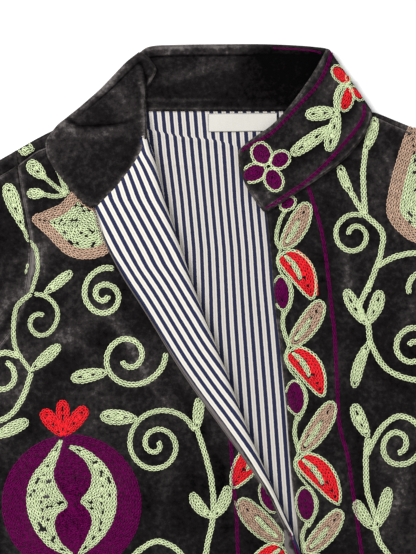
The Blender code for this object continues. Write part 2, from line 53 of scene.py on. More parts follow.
MM = 0.001
MIDDLE = np.array([32.0, -279.1, 0.0])
RIGHT_SHOULDER = [(-191, -34), (-166, -20), (-140, -9), (-111, -1)]
LEFT_SHOULDER = [(111, -1), (140, -13), (166, -24), (194, -36)]
BACK_NECK = [(-111, -1), (-60, -0.5), (0, -0.5), (60, -0.5), (111, -1)]
BACK_HEM = [(-212, -612), (-80, -613), (60, -609), (200, -602), (334, -592)]
OUTLINE = {
    "right": {
        "upper": [(-191, -34), (-186, -70), (-179, -108), (-179, -128), (-183, -157)],
        "lower": [(-183, -157), (-198, -190), (-232, -230)],
        "side": [(-232, -230), (-222, -320), (-214, -420), (-211, -520), (-212, -612)],
        "sleeve_outer": [(-191, -34), (-250, -68), (-318, -112), (-376, -166), (-425, -250), (-478, -382),
                         (-529, -506)],
        "sleeve_inner": [(-232, -230), (-262, -280), (-318, -378), (-372, -480), (-412, -558)],
        "away": -1,
        "band": 13.0,
    },
    "left": {
        "upper": [(194, -36), (199, -72), (204, -118), (213, -157)],
        "lower": [(213, -157), (235, -194), (276, -230)],
        "side": [(276, -230), (288, -320), (300, -420), (315, -520), (334, -592)],
        "sleeve_outer": [(194, -36), (256, -66), (338, -104), (412, -156), (468, -238), (532, -364),
                         (593, -484)],
        "sleeve_inner": [(276, -230), (312, -278), (374, -370), (434, -468), (480, -544)],
        "away": 1,
        "band": 6.0,
    },
}
UPPER_END = 0.21
ARMHOLE_END = 0.345
SIDE_INSET = 2.8
HEM_INSET = 3.5
BACK_SHOULDER_SHARE = 0.16
BACK_TOP = 2.4
RIM_TOP = 5.0
RIM_EDGE_TOP = 3.4


def smooth(x):
    x = np.clip(x, 0, 1)
    return x * x * (3 - 2 * x)


def along(points, fractions):
    """Points at these fractions of the length of a smooth curve through the given points."""
    given = np.array(points, float)
    p = np.vstack([2 * given[0] - given[1], given, 2 * given[-1] - given[-2]])
    steps = np.linspace(0, 1, 17)[:-1, None]
    pieces = []
    for a, b, c, d in zip(p, p[1:], p[2:], p[3:]):
        pieces.append(0.5 * (2 * b + (c - a) * steps + (2 * a - 5 * b + 4 * c - d) * steps**2
                             + (3 * b - a - 3 * c + d) * steps**3))
    fine = np.vstack(pieces + [given[-1:]])
    length = np.concatenate([[0], np.cumsum(np.linalg.norm(np.diff(fine, axis=0), axis=1))])
    wanted = np.clip(fractions, 0, 1) * length[-1]
    return np.stack([np.interp(wanted, length, fine[:, k]) for k in range(fine.shape[1])], axis=1)


def edge(*curves, shares=(1.0,)):
    """A boundary made of curves end to end. shares says where along it each curve ends."""
    starts = (0.0,) + tuple(shares[:-1])

    def at(fractions):
        found = np.zeros((len(fractions), 2))
        for curve, start, end in zip(curves, starts, shares):
            inside = (fractions >= start) & (fractions <= end)
            found[inside] = along(curve, (fractions[inside] - start) / (end - start))
        return found

    return at


def patch(top, bottom, left, right, us, vs):
    """The plan of a panel between its four edges, as rows from top to bottom."""
    across = np.broadcast_to(us, (len(vs), np.shape(us)[-1]))
    ends = np.array([0.0, 1.0])
    t = top(across.ravel()).reshape(*across.shape, 2)
    b = bottom(across.ravel()).reshape(*across.shape, 2)
    lt, rt = left(vs)[:, None], right(vs)[:, None]
    tl, tr = top(ends)
    bl, br = bottom(ends)
    u, v = across[..., None], vs[:, None, None]
    corners = (1 - u) * (1 - v) * tl + u * (1 - v) * tr + (1 - u) * v * bl + u * v * br
    return (1 - v) * t + v * b + (1 - u) * lt + u * rt - corners


def body_side(side, start, inset):
    """One side of the body from the shoulder down its armhole and side seam."""
    outline = OUTLINE[side]

    def at(vs):
        upper = along(outline["upper"], start + (1 - start) * vs / UPPER_END)
        lower = along(outline["lower"], (vs - UPPER_END) / (ARMHOLE_END - UPPER_END))
        seam = along(outline["side"], (vs - ARMHOLE_END) / (1 - ARMHOLE_END))
        seam[:, 0] -= outline["away"] * inset * smooth((vs - ARMHOLE_END) / 0.03)
        seam[-1, 1] += HEM_INSET * (inset > 0) * (vs[-1] == 1)
        picked = np.where(vs[:, None] <= UPPER_END, upper, lower)
        return np.where(vs[:, None] <= ARMHOLE_END, picked, seam)

    return at


def at_height(plan, z):
    return np.concatenate([plan, np.broadcast_to(z, plan.shape[:2])[..., None]], axis=2)


def closed_cloth(name, top, under, bulge, paint, uv=None, nap_and_painted_light=None):
    """A closed piece between two grids of points, its edge rounded outwards by bulge. uv measures its
    pattern, and the last argument says how light its pile lies at each point, with painted highlights and
    painted shade mixed in. Gives the object."""
    rows, columns = top.shape[:2]
    number = np.arange(rows * columns).reshape(rows, columns)
    loop = np.concatenate([number[0], number[1:, -1], number[-1, -2::-1], number[-2:0:-1, 0]])
    upper, lower = top.reshape(-1, 3), under.reshape(-1, 3)
    middle = (upper + lower) / 2
    run = np.roll(middle[loop], -1, axis=0) - np.roll(middle[loop], 1, axis=0)
    out = np.cross(run, upper[loop] - lower[loop])
    out /= np.maximum(np.linalg.norm(out, axis=1), 1e-9)[:, None]
    inside = middle.reshape(rows, columns, 3)[rows // 2, columns // 2] - middle[loop].mean(axis=0)
    if ((middle[loop] - middle[loop].mean(axis=0) - inside) * out).sum() < 0:
        out = -out
    half = (upper[loop] - lower[loop]) / 2
    rings = []
    for angle in (45, 0, -45):
        turned = math.radians(angle)
        rings.append(middle[loop] + half * math.sin(turned) + out * bulge * math.cos(turned))
    points = np.vstack([upper, lower] + rings)
    a, b = number[:-1, :-1].ravel(), number[1:, :-1].ravel()
    c, d = number[1:, 1:].ravel(), number[:-1, 1:].ravel()
    faces = [np.stack([a, b, c, d], axis=1), np.stack([d, c, b, a], axis=1) + rows * columns]
    count, start = len(loop), 2 * rows * columns
    edges = [loop] + [start + k * count + np.arange(count) for k in range(3)] + [loop + rows * columns]
    for one, other in zip(edges, edges[1:]):
        faces.append(np.stack([one, np.roll(one, -1), np.roll(other, -1), other], axis=1)[:, ::-1])
    faces = np.vstack(faces)
    corners = points[faces]
    normal = np.cross(corners[:, 2] - corners[:, 0], corners[:, 3] - corners[:, 1])
    if (normal * corners.mean(axis=1)).sum() < 0:
        faces = faces[:, ::-1]
    mesh = bpy.data.meshes.new(name)
    mesh.from_pydata(((points - MIDDLE) * MM).tolist(), [], faces.tolist())
    if uv is not None:
        spread = np.vstack([uv.reshape(-1, 2)] * 2 + [uv.reshape(-1, 2)[loop]] * 3)
        corner_vertex = np.empty(len(mesh.loops), np.int32)
        mesh.loops.foreach_get("vertex_index", corner_vertex)
        layer = mesh.uv_layers.new(name="cloth")
        layer.uv.foreach_set("vector", spread[corner_vertex].astype(np.float32).ravel())
    if nap_and_painted_light is not None:
        spread = np.concatenate([nap_and_painted_light.ravel()] * 2 + [nap_and_painted_light.ravel()[loop]] * 3)
        lying = mesh.attributes.new("nap_and_painted_light", "FLOAT", "POINT")
        lying.data.foreach_set("value", spread.astype(np.float32))
    mesh.materials.append(paint)
    mesh.shade_smooth()
    made = bpy.data.objects.new(name, mesh)
    bpy.context.scene.collection.objects.link(made)
    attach(made, "root")
    return made


def near_edge(grid, reach, edges="tblr"):
    """How near each point of a grid is to the grid's edges, from 0 at reach to 1 on the edge. edges names
    the top, bottom, left and right ones that count."""
    near = np.zeros(grid.shape[:2])
    for name, line in (("t", grid[:1]), ("b", grid[-1:]), ("l", grid[:, :1]), ("r", grid[:, -1:])):
        if name in edges:
            far = np.linalg.norm(grid[..., :2] - line[..., :2], axis=2)
            near = np.maximum(near, np.exp(-(far / reach) ** 2))
    return near


def sides_of(mid, thickness):
    """The two faces of a cloth of this thickness about the grid mid, drawn in a little at its edges."""
    normal = np.cross(np.gradient(mid, axis=0), np.gradient(mid, axis=1))
    normal /= np.linalg.norm(normal, axis=2)[..., None]
    if normal[..., 2].sum() < 0 and abs(normal[..., 2].mean()) > 0.2:
        normal = -normal
    drawn = mid.copy()
    for axis in (0, 1):
        for end, inner in ((0, 1), (-1, -2)):
            here = [slice(None)] * 2
            near = [slice(None)] * 2
            here[axis], near[axis] = end, inner
            inward = mid[tuple(near)] - mid[tuple(here)]
            step = np.linalg.norm(inward, axis=1)[:, None]
            drawn[tuple(here)] += inward / step * np.minimum(thickness / 2, 0.6 * step)
    return drawn + normal * thickness / 2, drawn - normal * thickness / 2


def rim(distance):
    """Top of a lower panel this far in from its rolled edge."""
    rise = RIM_EDGE_TOP + (RIM_TOP - RIM_EDGE_TOP) * smooth(distance / 2.5)
    return BACK_TOP + (rise - BACK_TOP) * (1 - smooth((distance - 9) / 6))


def velvet(name, dark, middle, light, bright):
    """Cotton velvet: a deep pile, lighter where it lies one way and in soft blotches. A per-point attribute
    adds the pile's own lie together with painted highlights along edges and fold ridges and painted shade in
    grooves and hollows."""
    made = bpy.data.materials.new(name)
    made.use_nodes = True
    nodes, links = made.node_tree.nodes, made.node_tree.links
    shader = nodes["Principled BSDF"]
    place = nodes.new("ShaderNodeTexCoord")
    # Reads the per-point attribute of pile lie, painted highlights and painted shade.
    lying = nodes.new("ShaderNodeAttribute")
    lying.attribute_name = "nap_and_painted_light"
    fields = []
    for scale, detail, share in ((16, 5, 0.75), (48, 4, 0.5), (240, 5, 0.75), (1100, 2, 0.25)):
        noise = nodes.new("ShaderNodeTexNoise")
        noise.inputs["Scale"].default_value = scale
        noise.inputs["Detail"].default_value = detail
        noise.inputs["Roughness"].default_value = 0.6
        noise.inputs["Distortion"].default_value = 0.6 if scale < 100 else 0.0
        links.new(place.outputs["Object"], noise.inputs["Vector"])
        fields.append((noise.outputs["Fac"], share))
    fields.append((lying.outputs["Fac"], 0.42))
    total = None
    for output, share in fields:
        added = nodes.new("ShaderNodeMath")
        added.operation = "MULTIPLY_ADD"
        added.inputs[1].default_value = share
        added.inputs[2].default_value = -0.625 if total is None else 0.0
        links.new(output, added.inputs[0])
        if total is not None:
            links.new(total, added.inputs[2])
        total = added.outputs["Value"]
    tone = nodes.new("ShaderNodeValToRGB")
    ramp = tone.color_ramp.elements
    ramp[0].position, ramp[0].color = 0.2, (*dark, 1)
    ramp[1].position, ramp[1].color = 1.0, (*bright, 1)
    for where, colour in ((0.5, middle), (0.72, light)):
        stop = ramp.new(where)
        stop.color = (*colour, 1)
    bump = nodes.new("ShaderNodeBump")
    bump.inputs["Strength"].default_value = 0.3
    bump.inputs["Distance"].default_value = 0.0004
    links.new(total, tone.inputs["Fac"])
    links.new(tone.outputs["Color"], shader.inputs["Base Color"])
    links.new(fields[3][0], bump.inputs["Height"])
    links.new(bump.outputs["Normal"], shader.inputs["Normal"])
    shader.inputs["Roughness"].default_value = 1.0
    shader.inputs["Specular IOR Level"].default_value = 0.03
    shader.inputs["Sheen Weight"].default_value = 0.03
    shader.inputs["Sheen Roughness"].default_value = 0.4
    shader.inputs["Sheen Tint"].default_value = (0.75, 0.66, 0.6, 1)
    return made


black_velvet = velvet("black_velvet", (0.0012, 0.001, 0.0011), (0.0085, 0.0073, 0.0077),
                      (0.026, 0.0225, 0.023), (0.14, 0.124, 0.122))

us = np.unique(np.round(np.concatenate([np.linspace(0, 0.035, 12), np.linspace(0.035, 0.965, 56),
                                        np.linspace(0.965, 1, 12)]), 5))
vs = np.unique(np.round(np.concatenate([np.linspace(0, 0.05, 16), np.linspace(0.05, 1, 70)]), 5))
back_top_edge = edge(RIGHT_SHOULDER, BACK_NECK, LEFT_SHOULDER,
                     shares=(BACK_SHOULDER_SHARE, 1 - BACK_SHOULDER_SHARE, 1.0))
plan = patch(back_top_edge, edge(BACK_HEM), body_side("right", 0, 0), body_side("left", 0, 0), us, vs)
from_side = np.minimum(us, 1 - us)[None, :] * (plan[:, -1:, 0] - plan[:, :1, 0])
below_underarm = smooth((vs - ARMHOLE_END) / 0.05)[:, None]
on_shoulder = 1 - smooth((np.minimum(us, 1 - us) - BACK_SHOULDER_SHARE + 0.03) / 0.035)[None, :]
sides = (rim(from_side) - BACK_TOP) * below_underarm
shoulders = (rim(plan[:1, :, 1] - plan[..., 1]) - BACK_TOP) * on_shoulder
back_grid = at_height(plan, BACK_TOP + np.maximum(sides, shoulders))
# Lighter along the rolled edges: a painted highlight.
back = closed_cloth("back_panel", back_grid, back_grid * (1, 1, 0), 0.5, black_velvet,
                    nap_and_painted_light=0.5 * near_edge(back_grid, 5))
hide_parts("back")

# ---------------------------------------------------------------------------------------------------
# Lining of the back. Striped cotton ticking, sewn in at the neck and hem, with a small tuck below the
# collar where the stripes step aside.

LINING = 1.0
LINING_MID = BACK_TOP + 0.3 + LINING / 2
LINING_OUTLINE = {"top": [(-100, -0.8), (0, -0.8), (100, -0.8)],
                  "bottom": [(-58, -440), (40, -440), (128, -440)],
                  "left": [(-100, -0.8), (-118, -100), (-104, -230), (-58, -440)],
                  "right": [(100, -0.8), (104, -100), (112, -230), (128, -440)]}
TUCK = [(-100, -14), (-80, -16), (-53, -22), (-23, -25), (3, -33), (30, -38), (100, -40)]
WRINKLES = [
    ("x", "y", "angle", "length", "width", "height"),
    (-52, -46, 176, 90, 4, 0.5),
    (-4, -20, 166, 50, 5, -0.35),
    (-34, -28, 172, 60, 4, 0.35),
    (12, -70, 96, 70, 8, 0.4),
    (-26, -88, 84, 90, 8, -0.4),
    (-44, -96, 60, 40, 5, 0.4),
    (-8, -150, 92, 110, 9, 0.4),
    (24, -140, 86, 90, 8, -0.35),
    (16, -210, 96, 90, 8, -0.35),
]
STRIPE_PITCH = 6.6
BACK_STRIPES = [
    ("y", "stripe_x", "apart"),
    (0, -31.5, 6.8),
    (-37, -28.5, 6.7),
    (-76, -25.2, 6.4),
    (-118, -21.4, 6.4),
    (-148, -20.0, 6.5),
    (-182, -18.7, 6.8),
    (-246, -14.4, 6.95),
    (-440, -1.0, 7.0),
]


def ticking(name, cream, shade, navy):
    """Cotton ticking: even navy stripes on cream, across the piece's own stripe measure."""
    made = bpy.data.materials.new(name)
    made.use_nodes = True
    nodes, links = made.node_tree.nodes, made.node_tree.links
    shader = nodes["Principled BSDF"]
    measure = nodes.new("ShaderNodeUVMap")
    measure.uv_map = "cloth"
    split = nodes.new("ShaderNodeSeparateXYZ")
    weave = nodes.new("ShaderNodeTexNoise")
    weave.inputs["Scale"].default_value = 2.2
    weave.inputs["Detail"].default_value = 3
    wobble = nodes.new("ShaderNodeMath")
    wobble.operation = "MULTIPLY_ADD"
    wobble.inputs[1].default_value = 0.06
    turn = nodes.new("ShaderNodeMath")
    turn.operation = "FRACT"
    stripes = nodes.new("ShaderNodeValToRGB")
    stripes.color_ramp.interpolation = "LINEAR"
    ramp = stripes.color_ramp.elements
    ramp[0].position, ramp[0].color = 0.0, (*shade, 1)
    ramp[1].position, ramp[1].color = 1.0, (*shade, 1)
    for where, colour in ((0.05, shade), (0.12, cream), (0.235, cream), (0.27, navy), (0.73, navy),
                          (0.765, cream), (0.88, cream), (0.95, shade)):
        stop = ramp.new(where)
        stop.color = (*colour, 1)
    thread = nodes.new("ShaderNodeTexWave")
    thread.bands_direction = "Y"
    thread.inputs["Scale"].default_value = 0.28
    thread.inputs["Distortion"].default_value = 1.0
    bump = nodes.new("ShaderNodeBump")
    bump.inputs["Strength"].default_value = 0.2
    bump.inputs["Distance"].default_value = 0.0002
    links.new(measure.outputs["UV"], split.inputs["Vector"])
    links.new(measure.outputs["UV"], weave.inputs["Vector"])
    links.new(measure.outputs["UV"], thread.inputs["Vector"])
    links.new(weave.outputs["Fac"], wobble.inputs[0])
    links.new(split.outputs["X"], wobble.inputs[2])
    links.new(wobble.outputs["Value"], turn.inputs[0])
    links.new(turn.outputs["Value"], stripes.inputs["Fac"])
    links.new(stripes.outputs["Color"], shader.inputs["Base Color"])
    links.new(thread.outputs["Fac"], bump.inputs["Height"])
    links.new(bump.outputs["Normal"], shader.inputs["Normal"])
    shader.inputs["Roughness"].default_value = 0.85
    shader.inputs["Specular IOR Level"].default_value = 0.2
    return made


def patches(plan, table):
    """What long soft patches, each with a middle, a direction and a size, add up to over a plan."""
    total = np.zeros(plan.shape[:-1])
    for x, y, angle, length, width, amount in table[1:]:
        turned = math.radians(angle)
        dx, dy = plan[..., 0] - x, plan[..., 1] - y
        lengthwise = (dx * math.cos(turned) + dy * math.sin(turned)) / (length / 2)
        across = (dx * math.sin(turned) - dy * math.cos(turned)) / (width / 2)
        total += amount * np.exp(-lengthwise**2 - across**2)
    return total


def stripe_measure(table, x, y):
    """Stripes counted across a lining, from how far apart they are and where one is at some heights."""
    heights, stripe_x, apart = np.array(table[:0:-1], float).T
    return (x - np.interp(y, heights, stripe_x)) / np.interp(y, heights, apart) + 0.5


# The back lining's copy of the ticking is darker all over than the lapel's. This is painted shade, since
# that lining lies lower and in shade.
back_ticking_painted_shade = ticking("back_ticking_painted_shade", (0.59, 0.56, 0.515), (0.455, 0.42, 0.38), (0.0125, 0.015, 0.048))
us = np.linspace(0, 1, 56)
vs = np.concatenate([np.linspace(0, 0.12, 56), np.linspace(0.12, 1, 84)[1:]])
plan = patch(*(edge(LINING_OUTLINE[name]) for name in ("top", "bottom", "left", "right")), us, vs)
tuck = np.array(TUCK, float)
above_tuck = plan[..., 1] - np.interp(plan[..., 0], tuck[:, 0], tuck[:, 1])
lift = 0.8 * np.exp(-((above_tuck + 1.8) / 1.5) ** 2) * smooth((30 - plan[..., 0]) / 60)
aside = 1.5 * smooth(above_tuck / 1.2 + 0.5) * smooth((20 - plan[..., 0]) / 60)
stripes = np.stack([stripe_measure(BACK_STRIPES, plan[..., 0] + aside, plan[..., 1]),
                    plan[..., 1] / STRIPE_PITCH], axis=2)
top, under = sides_of(at_height(plan, LINING_MID + lift + patches(plan, WRINKLES)), LINING)
lining = closed_cloth("lining_of_back", top, under, LINING / 2, back_ticking_painted_shade, stripes)
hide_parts("back_lining")

# ---------------------------------------------------------------------------------------------------
# Label. A bare woven tape, lying on the back lining just under the collar seam. It is sewn to the
# lining at its two ends.

LABEL_THICK = 0.8
LABEL_LONG = 58.5
LABEL_WIDE = 15.5
LABEL_Z = LINING_MID + LINING / 2 + 0.3 + LABEL_THICK / 2
white_tape = bpy.data.materials.new("white_tape")
white_tape.use_nodes = True
nodes, links = white_tape.node_tree.nodes, white_tape.node_tree.links
shader = nodes["Principled BSDF"]
place = nodes.new("ShaderNodeTexCoord")
rib = nodes.new("ShaderNodeTexWave")
rib.bands_direction = "X"
rib.inputs["Scale"].default_value = 320
rib.inputs["Distortion"].default_value = 0.4
tone = nodes.new("ShaderNodeValToRGB")
tone.color_ramp.elements[0].color = (0.50, 0.485, 0.445, 1)
tone.color_ramp.elements[1].color = (0.56, 0.54, 0.50, 1)
bump = nodes.new("ShaderNodeBump")
bump.inputs["Strength"].default_value = 0.25
bump.inputs["Distance"].default_value = 0.0002
links.new(place.outputs["Object"], rib.inputs["Vector"])
links.new(rib.outputs["Fac"], tone.inputs["Fac"])
links.new(rib.outputs["Fac"], bump.inputs["Height"])
links.new(tone.outputs["Color"], shader.inputs["Base Color"])
links.new(bump.outputs["Normal"], shader.inputs["Normal"])
shader.inputs["Roughness"].default_value = 0.6

us, vs = np.linspace(0, 1, 60), np.linspace(0, 1, 16)
turn = math.radians(0.6)
x = -29.0 + LABEL_LONG * us[None, :] + 0 * vs[:, None]
y = -2.4 - LABEL_WIDE * vs[:, None] + math.tan(turn) * LABEL_LONG * (us[None, :] - 0.5)
wave = 0.25 * np.sin(us * 7.0)[None, :] * np.sin(math.pi * vs)[:, None] ** 0.5
top, under = sides_of(np.stack([x, y, LABEL_Z + wave], axis=2), LABEL_THICK)
label = closed_cloth("bare_label", top, under, LABEL_THICK / 2, white_tape)
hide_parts("label")

# ---------------------------------------------------------------------------------------------------
# Left front. Black velvet from the shoulder to the hem, lying face up over the back, with the soft
# folds that cloth keeps when a jacket is smoothed out by hand.

SHELL = 2.4
FRONT_MID = 6.8
LEFT_FRONT_SHOULDER = [(166, -30), (140, -18.5), (111, -5.5)]
LEFT_FRONT_NECK = [(111, -5.5), (103.5, -16), (88.5, -34.5), (70.5, -49), (52.5, -60), (35, -71.5),
                   (19.6, -82)]
LEFT_FRONT_EDGE = [(19.6, -82), (24.5, -126), (27.5, -166), (31, -195), (36.6, -245), (40, -292),
                   (43.4, -326), (50, -377), (59, -470), (73.5, -604)]
LEFT_SHOULDER_SHARE = 0.355
FOLDS = [
    ("x", "y", "angle", "length", "width", "height"),
    (-168, -330, 74, 150, 26, 1.5),
    (-120, -420, 82, 190, 30, 1.3),
    (-196, -230, 48, 90, 20, 1.7),
    (-60, -470, 96, 170, 28, 1.2),
    (-150, -100, 62, 90, 18, 1.0),
    (150, -90, 118, 80, 16, 1.1),
    (190, -300, 98, 170, 28, 1.4),
    (240, -440, 96, 190, 30, 1.3),
    (140, -470, 84, 200, 28, 1.1),
    (228, -228, 132, 100, 20, 1.6),
    (-318, -190, 40, 110, 26, 1.9),
    (-372, -330, 62, 150, 22, 1.6),
    (-440, -440, 72, 110, 18, 1.3),
    (350, -175, 140, 110, 26, 1.9),
    (410, -310, 118, 150, 22, 1.6),
    (500, -420, 108, 110, 18, 1.3),
]
CREASES = [
    ("x", "y", "angle", "length", "width", "height"),
    (-171, -52, 40, 34, 7, 0.5),
    (-206, -176, 50, 70, 10, 0.9),
    (-212, -158, 48, 60, 8, -0.6),
    (-160, -140, 78, 60, 9, -0.45),
    (-128, -190, 60, 55, 8, 0.4),
    (-186, -282, 68, 70, 8, -0.5),
    (-146, -286, 84, 48, 7, 0.35),
    (-100, -330, 74, 90, 10, -0.45),
    (-62, -392, 66, 64, 9, 0.4),
    (-150, -470, 88, 120, 12, -0.5),
    (-96, -540, 98, 90, 11, 0.45),
    (-30, -540, 82, 80, 10, -0.4),
    (128, -60, 128, 40, 7, -0.45),
    (90, -130, 104, 70, 8, 0.35),
    (168, -180, 112, 80, 9, -0.45),
    (120, -290, 92, 100, 9, 0.35),
    (228, -330, 100, 90, 10, -0.5),
    (96, -420, 86, 84, 9, 0.35),
    (200, -540, 96, 110, 12, -0.5),
    (280, -520, 104, 70, 10, 0.45),
    (-262, -120, 34, 60, 10, -0.6),
    (-300, -250, 58, 90, 9, 0.55),
    (-352, -232, 50, 70, 8, -0.6),
    (-392, -400, 66, 90, 9, -0.6),
    (-430, -330, 72, 60, 8, 0.5),
    (-462, -500, 70, 56, 8, -0.5),
    (282, -118, 150, 60, 10, -0.6),
    (330, -250, 122, 90, 9, 0.55),
    (392, -222, 132, 70, 8, -0.6),
    (440, -400, 116, 90, 9, -0.6),
    (478, -330, 108, 60, 8, 0.5),
    (520, -486, 112, 56, 8, -0.5),
]
# Patches of painted highlight (light above 0) and painted shade (below 0) on the velvet, mixed with its
# pile's own lie.
NAP_AND_PAINTED_LIGHT = [
    ("x", "y", "angle", "length", "width", "light"),
    (-176, -130, 70, 60, 12, 0.5),
    (-140, -196, 150, 70, 14, 0.4),
    (-104, -186, 128, 50, 10, 0.4),
    (-192, -250, 60, 70, 12, 0.5),
    (-128, -236, 30, 60, 14, 0.35),
    (-84, -218, 122, 76, 10, 0.55),
    (-66, -330, 80, 90, 14, 0.35),
    (-16, -330, 96, 70, 8, -0.6),
    (-40, -262, 118, 80, 9, -0.7),
    (-92, -296, 62, 60, 10, 0.35),
    (-160, -420, 84, 110, 16, 0.4),
    (-80, -480, 100, 120, 14, 0.35),
    (96, -36, 142, 44, 9, 0.6),
    (128, -52, 112, 60, 9, 0.4),
    (84, -200, 82, 90, 12, 0.35),
    (140, -176, 62, 50, 12, 0.4),
    (122, -246, 20, 60, 10, 0.3),
    (88, -140, 95, 60, 10, 0.4),
    (130, -330, 70, 70, 12, 0.4),
    (98, -290, 92, 60, 10, -0.5),
    (180, -420, 98, 120, 16, 0.4),
    (230, -280, 110, 90, 14, 0.4),
    (-202, -168, 52, 70, 14, 0.4),
    (-222, -205, 50, 60, 10, 0.35),
    (-170, -116, 100, 44, 12, 0.25),
    (-192, -132, 62, 50, 9, 0.3),
    (-300, -160, 40, 120, 18, 0.4),
    (-380, -330, 60, 120, 16, 0.4),
    (340, -180, 140, 120, 18, 0.4),
    (430, -330, 118, 120, 16, 0.4),
]


def front_start(side):
    """Where on the upper armhole a front and the upper sleeve begin, below the rolled-over band."""
    points = np.array(OUTLINE[side]["upper"], float)
    return OUTLINE[side]["band"] / np.linalg.norm(np.diff(points, axis=0), axis=1).sum()


def folds(plan):
    """Height that the broad folds and the finer creases add at each point of a plan."""
    return patches(plan, FOLDS) + patches(plan, CREASES)


def front_height(plan, us, vs, front_edge_at_one):
    """Middle of a front's wall: level with soft folds, dipping towards its open front edge."""
    calm = smooth(np.minimum(us, 1 - us) / 0.08)[None, :] * smooth(np.minimum(vs, 1 - vs) / 0.06)[:, None]
    z = FRONT_MID + folds(plan) * calm
    if front_edge_at_one:
        z = z - 1.2 * smooth((us - 0.95) / 0.05)[None, :] * smooth(vs / 0.12)[:, None]
    return z


us, vs = np.linspace(0, 1, 72), np.linspace(0, 1, 150)
left = body_side("left", front_start("left"), SIDE_INSET)
corner, hem_corner = left(np.array([0.0, 1.0]))
top_edge = edge([tuple(corner)] + LEFT_FRONT_SHOULDER, LEFT_FRONT_NECK, shares=(LEFT_SHOULDER_SHARE, 1.0))
hem = edge([tuple(hem_corner), (200, -599), LEFT_FRONT_EDGE[-1]])
plan = patch(top_edge, hem, left, edge(LEFT_FRONT_EDGE), us, vs)
left_top, left_under = sides_of(at_height(plan, front_height(plan, us, vs, True)), SHELL)
# Pile tone with painted highlights on fold ridges and along the edges, and painted shade in the fold
# hollows.
left_nap_and_painted_light = 0.3 * folds(plan) + patches(plan, NAP_AND_PAINTED_LIGHT) + 0.7 * near_edge(left_top, 2.2)
left_front = closed_cloth("left_front", left_top, left_under, SHELL / 2, black_velvet, nap_and_painted_light=left_nap_and_painted_light)
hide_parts("front_left")

# ---------------------------------------------------------------------------------------------------
# Right front. The same velvet panel, whose open edge is turned back as a lapel from the neck to below
# the chest. There the fold opens, and the edge lies nearly flat from there to the hem.

RIGHT_FRONT_SHOULDER = [(-174, -35.5), (-166, -32), (-140, -22), (-111, -13)]
RIGHT_FRONT_NECK = [(-111, -13), (-97, -16)]
RIGHT_SHOULDER_SHARE = 0.78
LAPEL = [
    ("fold_x", "fold_y", "edge_x", "edge_y", "radius", "turn", "sink", "inset"),
    (-80.2, -21.5, -124.2, -83.0, 2.6, 180, 2.6, 0.6),
    (-77.5, -29.5, -122.9, -85.2, 3.1, 180, 2.6, 0.8),
    (-73.2, -43.0, -118.6, -107.6, 3.15, 180, 2.8, 1.2),
    (-64.5, -79.0, -100.5, -142.0, 3.15, 180, 2.8, 1.3),
    (-52.5, -114.0, -84.0, -167.0, 3.15, 180, 2.6, 1.6),
    (-40.0, -152.0, -68.0, -193.5, 3.15, 180, 2.4, 2.0),
    (-27.5, -185.0, -53.0, -218.0, 3.15, 180, 2.2, 2.6),
    (-13.0, -222.0, -35.5, -243.0, 3.15, 180, 2.0, 3.2),
    (0.5, -259.0, -17.5, -267.0, 3.15, 180, 1.4, 3.6),
    (15.5, -295.0, 3.7, -296.0, 3.15, 180, 0.8, 4.0),
    (28.0, -323.0, 22.0, -322.5, 3.1, 180, 0.0, 4.4),
    (38.0, -345.0, 32.4, -343.5, 3.1, 180, 0.0, 5.0),
    (46.0, -363.0, 39.0, -362.0, 3.1, 174, 0.0, 8.4),
    (50.0, -378.0, 42.0, -378.0, 3.4, 120, 0.0, 8.4),
    (50.2, -388.0, 43.0, -388.0, 3.8, 84, 0.0, 8.4),
    (49.2, -399.0, 43.5, -399.0, 4.2, 55, 0.0, 5.0),
    (51.2, -420.0, 44.0, -420.0, 6.0, 22, 0.0, 5.0),
    (53.6, -445.0, 44.5, -445.0, 12.0, 5, 0.0, 5.0),
    (61.0, -520.0, 51.0, -520.0, 12.0, 5, 0.0, 5.0),
    (70.0, -604.0, 60.0, -604.0, 12.0, 5, 0.0, 5.0),
]
STRIP = 6.4
LEAST_END = 0.8
BEND_STEPS = 12
LAPEL_STEPS = 24
PANEL_COLUMNS = 72


def lapel_rows(vs):
    """The lapel's table read smoothly at these shares of its length, one array for each column."""
    names = LAPEL[0]
    place = np.array(LAPEL[1:], float)
    distance = np.concatenate([[0], np.cumsum(np.linalg.norm(np.diff(place[:, :2], axis=0), axis=1))])
    fine = np.linspace(0, 1, 400)
    found = {"fold": along(place[:, :2], vs)}
    for number, name in enumerate(names[2:], 2):
        values = np.interp(fine, distance / distance[-1], place[:, number])
        padded = np.concatenate([2 * values[0] - values[8:0:-1], values, 2 * values[-1] - values[-2:-10:-1]])
        found[name] = np.interp(vs, fine, np.convolve(padded, np.ones(17) / 17, "valid"))
    found["edge"] = np.stack([found["edge_x"], found["edge_y"]], axis=1)
    return found


